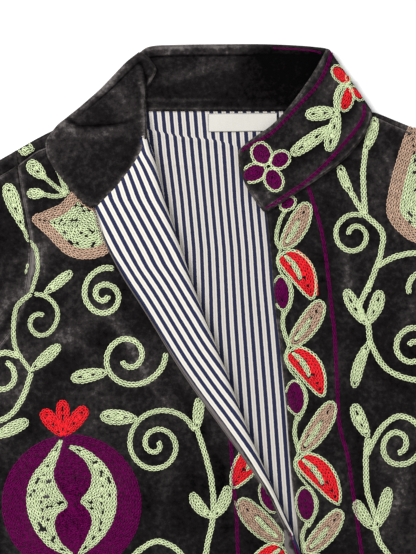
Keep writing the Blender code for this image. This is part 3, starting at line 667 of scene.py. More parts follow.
def bend(rows, offset, back_to, stop_short, shares):
    """The turned-back part of the right front as a grid: a little before the bend, round it, and out to
    the free edge. offset moves it to the lining's side of the cloth and stop_short ends it early."""
    run = np.gradient(rows["fold"], axis=0)
    outward = np.stack([-run[:, 1], run[:, 0]], axis=1) / np.linalg.norm(run, axis=1)[:, None]
    turn = np.radians(rows["turn"])
    skin = SHELL / 2 + 0.3 + LINING
    lying = rows["radius"] * np.sin(turn) + STRIP * np.cos(turn) + SHELL / 2
    flat = smooth((rows["turn"] - 78) / 24)
    reach = flat * (rows["radius"] + skin) + (1 - flat) * lying
    base = rows["fold"] - outward * reach[:, None]
    radius = rows["radius"] + offset
    back = smooth((rows["turn"] - 162) / 14)
    leaning = outward * (STRIP * np.cos(turn))[:, None]
    to_edge = back[:, None] * (rows["edge"] - base) + (1 - back[:, None]) * leaning
    whole = back * np.linalg.norm(to_edge, axis=1) + (1 - back) * STRIP
    ends_in_bend = np.maximum(0, LEAST_END - (whole - stop_short))
    stop_short = np.minimum(stop_short, whole - LEAST_END)
    climb = back * -rows["sink"] + (1 - back) * STRIP * np.sin(turn)
    bent = turn - ends_in_bend / radius
    level = np.full(len(base), FRONT_MID - offset)
    grid = [np.column_stack([base - outward * back, level]) for back in back_to]
    for share in np.linspace(0, 1, BEND_STEPS):
        angle = bent * share
        z = FRONT_MID + rows["radius"] - radius * np.cos(angle)
        grid.append(np.column_stack([base + outward * (radius * np.sin(angle))[:, None], z]))
    last = grid[len(back_to) + BEND_STEPS - 1]
    for share in shares:
        part = share * (1 - stop_short / whole)
        grid.append(last + np.column_stack([to_edge, climb]) * part[:, None])
    return np.stack(grid, axis=1), base


LAPEL_SHARES = np.linspace(0, 1, LAPEL_STEPS + 1)[1:]
us, vs = np.linspace(0, 1, PANEL_COLUMNS), np.linspace(0, 1, 170)
rows = lapel_rows(vs)
turned, base = bend(rows, 0.0, (), 0.0, LAPEL_SHARES)
left = body_side("right", front_start("right"), SIDE_INSET)
corner, hem_corner = left(np.array([0.0, 1.0]))
top_edge = edge([tuple(corner)] + RIGHT_FRONT_SHOULDER, RIGHT_FRONT_NECK + [tuple(base[0])],
                shares=(RIGHT_SHOULDER_SHARE, 1.0))
hem = edge([tuple(hem_corner), (-80, -609), tuple(base[-1])])
plan = patch(top_edge, hem, left, lambda _: base, us, vs)
panel = at_height(plan, front_height(plan, us, vs, False))
right_top, right_under = sides_of(np.concatenate([panel, turned[:, 1:]], axis=1), SHELL)
lapel_columns = right_top.shape[1] - PANEL_COLUMNS
# Pile tone with painted highlights on fold ridges, along the edges and wider along the lapel's free edge,
# and painted shade in fold hollows.
right_nap_and_painted_light = np.pad(0.3 * folds(plan) + patches(plan, NAP_AND_PAINTED_LIGHT), ((0, 0), (0, lapel_columns)))
right_nap_and_painted_light += 0.9 * near_edge(right_top, 2.5) + 0.6 * near_edge(right_top, 5.0, "r")
right_front = closed_cloth("right_front", right_top, right_under, SHELL / 2, black_velvet, nap_and_painted_light=right_nap_and_painted_light)
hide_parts("front_right")

# ---------------------------------------------------------------------------------------------------
# Lining of the right front. The same ticking, its stripes along the free edge, set in a little behind
# a narrow velvet border and carried round the fold.

LAPEL_STRIPES = [
    ("y", "stripe_x", "apart"),
    (-20, -147.0, 6.7),
    (-37, -143.7, 6.8),
    (-50, -138.4, 7.0),
    (-76, -133.4, 7.8),
    (-118, -112.0, 8.05),
    (-142, -98.6, 7.9),
]
LINING_BEFORE_BEND = (26, 20, 13, 6)
LINING_STEPS = 40
# The lapel's copy of the same ticking, lighter than the back's.
lapel_ticking = ticking("lapel_ticking", (0.70, 0.675, 0.61), (0.58, 0.54, 0.48), (0.015, 0.018, 0.058))
vs = np.linspace(0, 0.62, 120)
rows = lapel_rows(vs)
grid, _ = bend(rows, SHELL / 2 + 0.3 + LINING / 2, LINING_BEFORE_BEND, rows["inset"],
               np.linspace(0, 1, LINING_STEPS + 1)[1:])
free_edge = grid[:, -1]
run = np.gradient(free_edge[:, :2], axis=0)
run /= np.linalg.norm(run, axis=1)[:, None]
step = np.diff(grid, axis=1)
square = np.abs(step[..., 0] * run[:, None, 1] - step[..., 1] * run[:, None, 0])
length = np.hypot(square, np.abs(step[..., 2]))
to_edge = np.concatenate([length[:, ::-1].cumsum(axis=1)[:, ::-1], np.zeros((len(vs), 1))], axis=1)
measure = (to_edge + rows["inset"][:, None] + 0.6) / STRIPE_PITCH
lying = len(LINING_BEFORE_BEND) + BEND_STEPS - 1
level = stripe_measure(LAPEL_STRIPES, grid[..., 0], grid[..., 1])
level[:, :lying] = (level[:, lying:lying + 1]
                    + (to_edge[:, :lying] - to_edge[:, lying:lying + 1]) / STRIPE_PITCH)
below = smooth((-122 - grid[..., 1]) / 18)
measure = level * (1 - below) + measure * below
stripes = np.stack([measure, grid[..., 1] / STRIPE_PITCH], axis=2)
lapel_top, under = sides_of(grid, LINING)
lapel_lining = closed_cloth("lining_of_lapel", lapel_top, under, LINING / 2, lapel_ticking, stripes)
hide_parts("lapel_lining")

# ---------------------------------------------------------------------------------------------------
# Sleeves. Each velvet sleeve is one piece to its maker. Here it is the two layers that it makes as it
# lies flat, an under one and an upper one on it, with rolled edges that show all round.

SLEEVE_ARMHOLE_END = 0.2
SLEEVE_SEAM_IN = 2.5
SLEEVE_CROWN = 1.6
ARMHOLE_ROWS = 25
ARMHOLE_GAP = 0.6
sleeve_tops = []


def off_the_body(plan, away, rows_at_armhole):
    """Moves a sleeve's edge along the armhole a little out, so that the seam stays open by a hair."""
    line = np.concatenate([plan[0], plan[1:rows_at_armhole, -1]])
    run = np.gradient(line, axis=0)
    out = away * np.stack([-run[:, 1], run[:, 0]], axis=1) / np.linalg.norm(run, axis=1)[:, None]
    line = line + ARMHOLE_GAP * out
    plan[0] = line[:plan.shape[1]]
    plan[1:rows_at_armhole, -1] = line[plan.shape[1]:]
    return plan


for side in ("right", "left"):
    outline = OUTLINE[side]
    inner = edge(outline["lower"], outline["sleeve_inner"], shares=(SLEEVE_ARMHOLE_END, 1.0))
    edges = (edge(outline["upper"]), edge([outline["sleeve_outer"][-1], outline["sleeve_inner"][-1]]),
             edge(outline["sleeve_outer"]), inner)
    us = np.unique(np.concatenate([np.linspace(0, 0.12, 10), np.linspace(0.12, 0.9, 26),
                                   np.linspace(0.9, 1, 9)]))
    vs = np.unique(np.concatenate([np.linspace(0, SLEEVE_ARMHOLE_END, ARMHOLE_ROWS),
                                   np.linspace(SLEEVE_ARMHOLE_END, 1, 80)]))
    plan = off_the_body(patch(*edges, us, vs), outline["away"], ARMHOLE_ROWS)
    across = np.linalg.norm(plan[:, -1] - plan[:, 0], axis=1)[:, None]
    past_underarm = smooth((vs - SLEEVE_ARMHOLE_END) / 0.06)[:, None]
    outer_rim = rim(us[None, :] * across)
    inner_rim = BACK_TOP + (rim((1 - us)[None, :] * across) - BACK_TOP) * past_underarm
    grid = at_height(plan, np.maximum(outer_rim, inner_rim))
    # Lighter along the rolled edges: a painted highlight.
    under_piece = closed_cloth("under_sleeve_" + side, grid, grid * (1, 1, 0), 0.5, black_velvet,
                               nap_and_painted_light=0.5 * near_edge(grid, 4))
    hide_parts("sleeve_under_" + side)

    band = SLEEVE_SEAM_IN + (outline["band"] - SLEEVE_SEAM_IN) * (1 - smooth(vs / 0.45))
    start = band[:, None] / across
    start[0] = front_start(side)
    end = 1 - SLEEVE_SEAM_IN * past_underarm / across
    upper = off_the_body(patch(*edges, start + (end - start) * us, vs), outline["away"], ARMHOLE_ROWS)
    calm = smooth(np.minimum(us, 1 - us) * across / 18)
    ends = smooth(np.minimum(vs / 0.08, (1 - vs) / 0.05))[:, None]
    z = FRONT_MID + (folds(upper) * calm + SLEEVE_CROWN * np.sin(math.pi * us)) * ends
    top, under = sides_of(at_height(upper, z), SHELL)
    sleeve_tops.append(top)
    # Painted highlights on fold ridges and along the edges, painted shade in fold hollows, with the pile's
    # own lie.
    upper_piece = closed_cloth("upper_sleeve_" + side, top, under, SHELL / 2, black_velvet,
                               nap_and_painted_light=0.3 * folds(upper) + patches(upper, NAP_AND_PAINTED_LIGHT) + 0.6 * near_edge(top, 2.5))
    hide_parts("sleeve_upper_" + side)

# ---------------------------------------------------------------------------------------------------
# Stand collar. Two layers of velvet sewn together, round the back of the neck, folded over itself at
# the left neck and coming forward face up, where it is embroidered.

COLLAR = 3.6
STAND = [
    ("seam_x", "seam_y", "seam_z", "free_x", "free_y", "free_z"),
    (-98.0, 0.3, 1.95, -95.0, 39.5, 1.95),
    (-88.0, 0.3, 1.95, -84.6, 49.4, 1.95),
    (-78.0, 0.3, 1.95, -77.0, 53.4, 1.95),
    (-60.0, 0.3, 1.95, -60.0, 54.6, 1.95),
    (-20.0, 0.3, 1.95, -20.0, 55.2, 1.95),
    (25.0, 0.3, 1.95, 20.0, 55.2, 1.95),
    (70.0, 0.3, 1.95, 48.0, 54.0, 1.95),
    (96.0, 0.3, 1.95, 64.0, 52.6, 1.95),
    (104.5, 0.0, 2.9, 70.5, 51.5, 2.9),
    (107.2, -0.8, 5.6, 72.4, 50.3, 5.6),
    (108.0, -3.0, 8.4, 71.0, 48.6, 8.4),
    (106.4, -12.0, 9.6, 67.5, 42.0, 9.6),
    (99.6, -24.4, 10.4, 62.0, 32.5, 10.6),
    (88.2, -38.6, 10.8, 53.5, 19.5, 11.0),
    (70.4, -52.6, 10.8, 40.5, 2.0, 10.6),
    (52.8, -64.4, 10.6, 25.5, -14.0, 9.8),
    (35.6, -75.8, 10.5, 9.4, -25.2, 8.8),
    (18.8, -86.4, 10.2, -2.0, -34.8, 7.8),
]
BAND_SEAM = 8.5
NECK_SEAM = 3.2
STAND_ROWS = 140
table = np.array(STAND[1:], float)
even = np.linspace(0, 1, STAND_ROWS)
index = np.linspace(0, len(table) - 1, STAND_ROWS)
lines = []
for half in (table[:, :3], table[:, 3:]):
    fine = along(half, np.linspace(0, 1, 600))
    marks = np.array([np.argmin(np.linalg.norm(fine - point, axis=1)) for point in half]) / 599
    lines.append(along(half, np.interp(index, np.arange(len(table)), marks)))
bow = 6.4 * smooth((even - 0.86) / 0.14)
columns = []
shares = np.unique(np.round(np.concatenate([np.linspace(0, 0.2, 12), np.linspace(0.2, 0.76, 12),
                                            np.linspace(0.76, 1, 16)]), 5))
for share in shares:
    line = lines[0] + (lines[1] - lines[0]) * share
    line[:, 0] -= bow * math.sin(math.pi * share) ** 0.8
    columns.append(line)
collar_mid = np.stack(columns, axis=1)
across = np.linalg.norm(lines[1] - lines[0], axis=1)[:, None]
from_free, from_neck = across * (1 - shares), across * shares
shown_inside = np.arange(STAND_ROWS)[:, None] < 0.47 * STAND_ROWS
sewn = np.exp(-((from_free - BAND_SEAM) / 0.9) ** 2) * (1 + 0.3 * np.sin(collar_mid[..., 0] * 0.9))
joined = np.exp(-((from_neck - NECK_SEAM) / 0.9) ** 2)
collar_top, collar_under = sides_of(collar_mid, COLLAR)
half = (collar_top - collar_under) / 2
middle = (collar_top + collar_under) / 2
pressed = 1 - (0.34 * sewn + 0.25 * joined)[..., None] * shown_inside[..., None]
collar_top, collar_under = middle + half * pressed, middle - half * pressed
x = collar_mid[..., 0]
# Inside of the collar: painted shade darkening it towards the right and along the band's seam, and painted
# highlights on the band above the seam, near the neck and in a streak across it. Outside: bands of painted
# highlight and painted shade. All edges: a painted highlight.
inside_painted_light = (0.35 * smooth((BAND_SEAM - from_free) / 2) - 0.7 * sewn - 1.0 * smooth((x + 40) / 110)
              + 0.45 * np.exp(-((from_neck - 8.5) / 1.6) ** 2) * smooth((20 - x) / 60)
              + 0.4 * np.exp(-((collar_mid[..., 1] - 30 - 0.25 * (x + 50)) / 6) ** 2)
              * smooth((10 - x) / 50))
outside_painted_light = (0.3 * np.exp(-((from_neck - 11) / 6) ** 2) + 0.25 * np.exp(-((from_free - 20) / 7) ** 2)
               - 0.35 * np.exp(-((from_neck - 27) / 8) ** 2))
collar_painted_light = np.where(shown_inside, inside_painted_light, outside_painted_light) + 0.6 * near_edge(collar_top, 2.2)
collar = closed_cloth("stand_collar", collar_top, collar_under, COLLAR / 2, black_velvet, nap_and_painted_light=collar_painted_light)
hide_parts("collar_stand")

# ---------------------------------------------------------------------------------------------------
# Turned-back end of the collar. The collar's right end lies folded out over the shoulder, so that its
# plain inner velvet faces up.

TURNED_END = [
    ("inner_x", "inner_y", "inner_z", "crest_z", "outer_x", "outer_y", "outer_z"),
    (-80.0, 43.5, 6.2, 6.3, -86.0, 48.0, 6.2),
    (-73.0, 34.0, 6.2, 10.4, -97.0, 39.8, 6.2),
    (-82.6, 17.0, 6.2, 11.0, -119.0, 16.5, 6.4),
    (-82.4, 2.0, 6.4, 12.2, -139.0, -1.0, 8.0),
    (-81.2, -12.0, 8.4, 12.6, -155.0, -13.5, 9.8),
    (-81.0, -24.5, 12.4, 13.2, -165.4, -27.0, 10.4),
    (-83.5, -33.0, 13.4, 13.4, -163.8, -38.5, 10.6),
    (-88.5, -42.5, 13.0, 13.0, -158.0, -49.0, 10.6),
    (-96.5, -54.5, 12.4, 12.4, -150.0, -59.0, 10.4),
    (-105.5, -65.0, 11.8, 11.8, -142.0, -68.5, 10.4),
    (-114.5, -73.5, 11.2, 11.2, -134.0, -77.0, 10.4),
    (-122.6, -80.6, 10.8, 10.8, -127.4, -81.4, 10.4),
]
FLAP_CREASE = [(-170, -4), (-146, -9), (-136, -14.5), (-112, -13.6), (-82, -9), (-60, -7)]
PINCH = [
    ("x", "y", "angle", "length", "width", "height"),
    (-82.0, 19, 90, 18, 2.8, -1.0),
    (-82.6, 30, 104, 14, 2.8, -1.0),
    (-86.0, 38, 128, 10, 2.6, -0.7),
    (-85.5, 21, 92, 22, 4.0, 0.6),
    (-86.6, 32, 108, 12, 3.6, 0.5),
    (-77.0, 27, 96, 16, 4.0, 0.5),
]
CREST_AT = 0.2
TURNED_ROWS = 96
TURNED_COLUMNS = 56
table = np.array(TURNED_END[1:], float)
fine = np.linspace(0, len(table) - 1, 260)
read = []
for column in table.T:
    values = np.interp(fine, np.arange(len(table)), column)
    padded = np.concatenate([2 * values[0] - values[5:0:-1], values, 2 * values[-1] - values[-2:-7:-1]])
    read.append(np.interp(np.linspace(0, len(table) - 1, TURNED_ROWS), fine,
                          np.convolve(padded, np.ones(11) / 11, "valid")))
inner_x, inner_y, inner_z, crest_z, outer_x, outer_y, outer_z = read
columns = []
for share in np.linspace(0, 1, TURNED_COLUMNS):
    climb = smooth(share / CREST_AT)
    fall = smooth((share - CREST_AT) / (1 - CREST_AT))
    z = inner_z + (crest_z - inner_z) * climb + (outer_z - crest_z) * fall
    columns.append(np.column_stack([inner_x + (outer_x - inner_x) * share,
                                    inner_y + (outer_y - inner_y) * share, z]))
turned_mid = np.stack(columns, axis=1)
crease = np.array(FLAP_CREASE, float)
below = np.interp(turned_mid[..., 0], crease[:, 0], crease[:, 1]) - turned_mid[..., 1]
deep = smooth((-84 - turned_mid[..., 0]) / 20) * smooth((turned_mid[..., 0] + 160) / 16)
turned_mid[..., 2] += deep * (0.8 * np.exp(-((below - 6) / 4) ** 2) - 1.3 * np.exp(-(below / 2.4) ** 2))
pinched = patches(turned_mid, PINCH)
turned_mid[..., 2] += pinched
turned_top, under = sides_of(turned_mid, COLLAR)
from_outer = np.linalg.norm(turned_mid - turned_mid[:, -1:], axis=2)
row = np.arange(TURNED_ROWS)[:, None]
seam_share = smooth(row / 14) * (1 - smooth((row - 18) / 12))
sewn = np.exp(-((from_outer - BAND_SEAM) / 1.1) ** 2) * seam_share
turned_top[..., 2] -= 0.6 * sewn * (1 + 0.3 * np.sin(turned_mid[..., 0] * 0.9))
# Painted shade in the pinched groove, the seam and the flap's crease; painted highlights beside them, along
# the edges and in two light patches.
turned_painted_light = (0.8 * pinched + 0.6 * near_edge(turned_top, 4.0) - 0.8 * sewn
              + 0.25 * seam_share * smooth((9 - from_outer) / 2)
              + deep * (0.5 * np.exp(-((below - 7) / 4) ** 2) - 0.8 * np.exp(-(below / 2.0) ** 2))
              + 0.25 * np.exp(-((turned_mid[..., 0] + 100) / 14) ** 2 - ((turned_mid[..., 1] - 8) / 18) ** 2)
              + 0.4 * np.exp(-((turned_mid[..., 0] + 150) / 10) ** 2
                             - ((turned_mid[..., 1] + 32) / 14) ** 2))
turned_end = closed_cloth("turned_collar_end", turned_top, under, COLLAR / 2, black_velvet, nap_and_painted_light=turned_painted_light)
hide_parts("collar_turned_end")

# ---------------------------------------------------------------------------------------------------
# Chain stitch. Cotton thread worked by hand in rows of loops, each loop caught by the next. Vines are
# two or three rows side by side and filled shapes are rows laid inside one another.

ROW = 2.3
STITCH = 3.5
THREAD = 0.62
THREAD_RISE = 0.6
LOOP = np.array([(-0.05, 0.0), (0.42, 0.37), (0.86, 0.31), (1.07, 0.0), (0.86, -0.31), (0.42, -0.37)])
LOOP_OUT = np.array([(-1.0, 0.0), (-0.42, 0.9), (0.5, 0.87), (1.0, 0.0), (0.5, -0.87), (-0.42, -0.9)])
LOOP_LIFT = np.array([0.32, 0.05, 0.0, -0.05, 0.0, 0.05])
HOLE_SHARE = 0.1
ABOVE_ALL = 60
chance = np.random.default_rng(7)


def tree_of(*grids):
    """A search tree over grids of points, to lay thread on them."""
    points, faces, start = [], [], 0
    for grid in grids:
        rows, columns = grid.shape[:2]
        number = start + np.arange(rows * columns).reshape(rows, columns)
        quads = np.stack([number[:-1, :-1], number[1:, :-1], number[1:, 1:], number[:-1, 1:]], axis=-1)
        points.append(grid.reshape(-1, 3))
        faces.append(quads.reshape(-1, 4))
        start += rows * columns
    return BVHTree.FromPolygons(np.vstack(points).tolist(), np.vstack(faces).tolist())


def thread(name, colour, deep):
    """Matt twisted cotton: a little lighter and darker from loop to loop, with its ply as fine ridges."""
    made = bpy.data.materials.new(name)
    made.use_nodes = True
    nodes, links = made.node_tree.nodes, made.node_tree.links
    shader = nodes["Principled BSDF"]
    place = nodes.new("ShaderNodeTexCoord")
    measure = nodes.new("ShaderNodeUVMap")
    measure.uv_map = "thread"
    uneven = nodes.new("ShaderNodeTexNoise")
    uneven.inputs["Scale"].default_value = 330
    uneven.inputs["Detail"].default_value = 2
    tone = nodes.new("ShaderNodeValToRGB")
    tone.color_ramp.elements[0].position = 0.3
    tone.color_ramp.elements[0].color = (*deep, 1)
    tone.color_ramp.elements[1].position = 0.62
    tone.color_ramp.elements[1].color = (*colour, 1)
    ply = nodes.new("ShaderNodeTexWave")
    ply.bands_direction = "DIAGONAL"
    ply.inputs["Scale"].default_value = 2.0
    bump = nodes.new("ShaderNodeBump")
    bump.inputs["Strength"].default_value = 0.5
    bump.inputs["Distance"].default_value = 0.0002
    links.new(place.outputs["Object"], uneven.inputs["Vector"])
    links.new(uneven.outputs["Fac"], tone.inputs["Fac"])
    links.new(tone.outputs["Color"], shader.inputs["Base Color"])
    links.new(measure.outputs["UV"], ply.inputs["Vector"])
    links.new(ply.outputs["Fac"], bump.inputs["Height"])
    links.new(bump.outputs["Normal"], shader.inputs["Normal"])
    shader.inputs["Roughness"].default_value = 0.8
    shader.inputs["Specular IOR Level"].default_value = 0.06
    return made


THREADS = {
    "green": thread("green_thread", (0.78, 0.87, 0.55), (0.60, 0.71, 0.41)),
    "taupe": thread("taupe_thread", (0.70, 0.49, 0.36), (0.46, 0.31, 0.22)),
    "red": thread("red_thread", (1.0, 0.030, 0.045), (0.90, 0.014, 0.025)),
    "purple": thread("purple_thread", (0.185, 0.0005, 0.1), (0.095, 0.0005, 0.052)),
}
panels = tree_of(back_grid, left_top, right_top[:, :PANEL_COLUMNS], *sleeve_tops)
covers = tree_of(lapel_top, turned_top, collar_top, collar_under)
collar_face = tree_of(collar_top, collar_under)
turned_face = tree_of(right_top, right_under)
DOWN = Vector((0, 0, -1))
worked = {}


def even_steps(path, step, closed=False):
    """A path's points again, at even steps."""
    if closed:
        path = np.vstack([path, path[:1]])
    length = np.concatenate([[0], np.cumsum(np.linalg.norm(np.diff(path, axis=0), axis=1))])
    count = max(2, int(round(length[-1] / step)) + 1)
    wanted = np.linspace(0, length[-1], count)
    return np.stack([np.interp(wanted, length, path[:, k]) for k in range(path.shape[1])], axis=1)


def chain(part, colour, path, row=ROW, stitch=STITCH, holes=0.0, face=None):
    """A row of chain stitches along a path in plan, laid on the cloth below it. Loops that something
    covers are left out."""
    path = even_steps(np.asarray(path, float), 1.6)
    ground = panels if face is None else face
    found, normals, shown = [], [], []
    for x, y in path:
        spot, normal, _, _ = ground.ray_cast(Vector((x, y, ABOVE_ALL)), DOWN)
        hidden = covers.ray_cast(Vector((x, y, ABOVE_ALL)), DOWN)[0] if face is None else None
        if spot is None:
            found.append((x, y, 0))
            normals.append((0, 0, 1))
            shown.append(False)
            continue
        found.append((x, y, spot.z))
        normals.append(tuple(normal if normal.z > 0 else -normal))
        shown.append(hidden is None or hidden.z < spot.z + 0.3)
    if not any(shown):
        return
    points, normals = np.array(found), np.array(normals)
    level = sliding_window_view(np.pad(points[:, 2], 4, mode="edge"), 5).max(axis=1)
    level = sliding_window_view(level, 5).min(axis=1)
    bridged = level - points[:, 2] > 0.8
    points[bridged, 2] = level[bridged]
    normals[bridged] = (0, 0, 1)
    length = np.concatenate([[0], np.cumsum(np.linalg.norm(np.diff(points, axis=0), axis=1))])
    run = np.gradient(points, axis=0)
    count = max(1, int(round(length[-1] / stitch)))
    step = length[-1] / count
    centre = (np.arange(count) + 0.5) * step
    keep = np.interp(centre, length, np.array(shown, float)) > 0.5
    keep &= chance.random(count) >= holes
    index = np.flatnonzero(keep)
    if not len(index):
        return
    jitter = chance.normal(0, 1, (len(index), 3))
    places = (index[:, None] + LOOP[None, :, 0] + 0.04 * jitter[:, :1]) * step

    def read(values):
        return np.stack([np.interp(places, length, values[:, k]) for k in range(3)], axis=2)

    base, up, ahead = read(points), read(normals), read(run)
    up /= np.linalg.norm(up, axis=2)[..., None]
    ahead /= np.maximum(np.linalg.norm(ahead, axis=2), 1e-9)[..., None]
    side = np.cross(up, ahead)
    over = LOOP[None, :, 1] * row * (1 + 0.06 * jitter[:, 1:2]) + 0.05 * row * jitter[:, 2:3]
    middle = base + side * over[..., None]
    outward = ahead * LOOP_OUT[None, :, :1] + side * LOOP_OUT[None, :, 1:]
    thick = THREAD * row / ROW
    level = np.maximum(LOOP_LIFT, 0)[None, :, None] - 0.12
    rings = [middle + outward * thick + up * level,
             middle + up * (level + THREAD_RISE + LOOP_LIFT[None, :, None]),
             middle - outward * thick + up * level]
    worked.setdefault((part, colour), []).append(np.stack(rings, axis=2))


def inside(points, outline):
    """Which points lie inside a closed outline."""
    x, y = points[:, 0][:, None], points[:, 1][:, None]
    x0, y0 = outline[:, 0], outline[:, 1]
    x1, y1 = np.roll(x0, -1), np.roll(y0, -1)
    crossing = (y0 > y) != (y1 > y)
    rise = np.where(np.abs(y1 - y0) < 1e-9, 1e-9, y1 - y0)
    return (crossing & (x < (x1 - x0) * (y - y0) / rise + x0)).sum(axis=1) % 2 == 1


def inset(outline, distance):
    """A closed outline drawn in by this much, or nothing where too little is left."""
    fine = even_steps(outline, 0.6, closed=True)[:-1]
    run = np.roll(fine, -1, axis=0) - np.roll(fine, 1, axis=0)
    area = (fine[:, 0] * np.roll(fine[:, 1], -1) - np.roll(fine[:, 0], -1) * fine[:, 1]).sum()
    inward = np.stack([-run[:, 1], run[:, 0]], axis=1) / np.linalg.norm(run, axis=1)[:, None]
    moved = fine + inward * distance * (1 if area > 0 else -1)
    gap = np.linalg.norm(moved[:, None] - fine[None], axis=2).min(axis=1)
    kept = moved[gap > distance - 0.2]
    if len(kept) < 5:
        return None
    span = kept.max(axis=0) - kept.min(axis=0)
    return kept if span.max() > 1.5 else None


def centre_line(ring):
    """A line down the middle of a long narrow ring of points."""
    middle = ring.mean(axis=0)
    long_way = np.linalg.svd(ring - middle)[2][0]
    if long_way[1] > 0:
        long_way = -long_way
    way, off = (ring - middle) @ long_way, (ring - middle) @ np.array([-long_way[1], long_way[0]])
    if way.max() - way.min() < 2.5:
        return None
    curve = np.polyfit(way, off, 2)
    spread = np.linspace(way.min() + 0.3, way.max() - 0.3, 30)
    across = np.polyval(curve, spread)
    return middle + spread[:, None] * long_way + across[:, None] * np.array([-long_way[1], long_way[0]])


def filled(part, outline, layers, keep_out=(), pitch=ROW, holes=0.0, face=None):
    """A shape filled with rows inside one another. layers says how many rows each colour has, from the
    outline inwards, and the last goes on to the middle."""
    level = 0
    colours = [colour for colour, count in layers for _ in range(count)]
    while level < 60:
        colour = colours[min(level, len(colours) - 1)]
        inward = (level + 0.5) * pitch if level < len(colours) - 1 or len(colours) == 1 else \
            (len(colours) - 1) * ROW + (level - len(colours) + 1.5) * pitch
        ring = inset(outline, inward)
        if ring is None:
            left_over = inset(outline, inward - 0.38 * pitch)
            line = None if left_over is None or level == 0 else centre_line(left_over)
            if line is not None:
                for shape in keep_out:
                    line = line[~inside(line, shape)]
                if len(line) > 4:
                    chain(part, colour, line, pitch * 0.9, face=face)
            return
        ring = even_steps(ring, 0.8, closed=True)
        free = np.ones(len(ring), bool)
        for shape in keep_out:
            free &= ~inside(ring, shape)
        share = holes if level >= max(1, len(colours) - 1) else 0.0
        if free.all():
            chain(part, colour, ring, pitch, holes=share, face=face)
        else:
            first = int(np.argmin(free))
            ring, free = np.roll(ring[:-1], -first, axis=0), np.roll(free[:-1], -first)
            cuts = np.flatnonzero(np.diff(free.astype(int))) + 1
            for run, open_run in zip(np.split(ring, cuts), np.split(free, cuts)):
                if open_run[0] and len(run) > 3:
                    chain(part, colour, run, pitch, holes=share, face=face)
        level += 1


def vine(part, points, rows=2, colour="green", row=ROW, face=None):
    """A stem or line of rows side by side along a smooth curve."""
    middle = along(points, np.linspace(0, 1, 240))
    middle = even_steps(middle, 1.2)
    run = np.gradient(middle, axis=0)
    aside = np.stack([-run[:, 1], run[:, 0]], axis=1) / np.linalg.norm(run, axis=1)[:, None]
    for number in range(rows):
        chain(part, colour, middle + aside * (number - (rows - 1) / 2) * row, row, face=face)


def curl(centre, angle, sweep, radii):
    """Points of a curl round a centre: it starts at an angle and sweeps on while its radius changes."""
    shares = np.linspace(0, 1, len(radii))
    fine = np.linspace(0, 1, 40)
    turned = np.radians(angle + sweep * fine)
    radius = np.interp(fine, shares, radii)
    radius = np.convolve(np.concatenate([radius[:1]] * 2 + [radius] + [radius[-1:]] * 2), np.ones(5) / 5,
                         "valid")
    return np.column_stack([centre[0] + radius * np.cos(turned), centre[1] + radius * np.sin(turned)])


def leaf(base, tip, width, full=(0.62, 0.42), lean=0.0):
    """Outline of a leaf, petal or bud from its base to its tip. full says how fast it widens from its
    base and closes to its tip, and lean bows it to its left."""
    t = np.linspace(0, 1, 41)
    shape = t ** full[0] * (1 - t) ** full[1]
    half = shape / shape.max() * width / 2
    base, tip = np.array(base, float), np.array(tip, float)
    ahead = (tip - base) / np.linalg.norm(tip - base)
    aside = np.array([-ahead[1], ahead[0]])
    axis = base + (tip - base) * t[:, None] + aside * (lean * np.sin(math.pi * t))[:, None]
    return np.vstack([axis + aside * half[:, None], (axis - aside * half[:, None])[-2:0:-1]])


def bud(part, base, tip, width=9.5, lean=0.0, colour="green", face=None):
    filled(part, leaf(base, tip, width, lean=lean), [(colour, 1)], face=face)


def oval(centre, across, length, angle=90.0):
    turned = math.radians(angle)
    t = np.linspace(0, 2 * math.pi, 49)[:-1]
    x, y = length / 2 * np.cos(t), across / 2 * np.sin(t)
    return np.column_stack([centre[0] + x * math.cos(turned) - y * math.sin(turned),
                            centre[1] + x * math.sin(turned) + y * math.cos(turned)])


def rounded(points):
    """A closed outline smoothly through a few points."""
    ring = np.array(points + points[:3], float)
    smooth_ring = along(ring, np.linspace(0, 1, 200))
    start = np.argmin(np.linalg.norm(smooth_ring[:80] - ring[1], axis=1))
    stop = 100 + np.argmin(np.linalg.norm(smooth_ring[100:] - ring[len(points) + 1], axis=1))
    return smooth_ring[start:stop]


def finish_thread(part, colour):
    """Joins all the loops of one colour on one panel into a mesh."""
    loops = np.concatenate(worked[part, colour])
    count = len(loops)
    points = (loops.reshape(-1, 3) - MIDDLE) * MM
    corner = np.arange(18).reshape(6, 3)
    ahead = np.roll(corner, -1, axis=0)
    quads = [np.stack([corner[:, k], ahead[:, k], ahead[:, (k + 1) % 3], corner[:, (k + 1) % 3]], axis=1)
             for k in range(3)]
    template = np.vstack(quads)
    faces = (template[None] + 18 * np.arange(count)[:, None, None]).reshape(-1, 4)
    sample = points[faces[:18]]
    normal = np.cross(sample[:, 2] - sample[:, 0], sample[:, 3] - sample[:, 1])
    if (normal * (sample.mean(axis=1) - points[:18].mean(axis=0))).sum() < 0:
        faces = faces[:, ::-1]
    mesh = bpy.data.meshes.new(part + "_" + colour)
    mesh.from_pydata(points.tolist(), [], faces.tolist())
    around = np.tile(np.repeat(np.arange(6), 3), count).astype(np.float32)
    across = np.tile(np.tile(np.arange(3), 6), count).astype(np.float32)
    corner_vertex = np.empty(len(mesh.loops), np.int32)
    mesh.loops.foreach_get("vertex_index", corner_vertex)
    layer = mesh.uv_layers.new(name="thread")
    layer.uv.foreach_set("vector", np.stack([around, across], axis=1)[corner_vertex].ravel())
    mesh.materials.append(THREADS[colour])
    mesh.shade_smooth()
    made = bpy.data.objects.new(part + "_" + colour, mesh)
    bpy.context.scene.collection.objects.link(made)
    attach(made, "root")
    return made


# ---------------------------------------------------------------------------------------------------
# Purple edging lines. Two close rows of purple chain down each front beside its border of leaves, and
# along both edges of the collar.

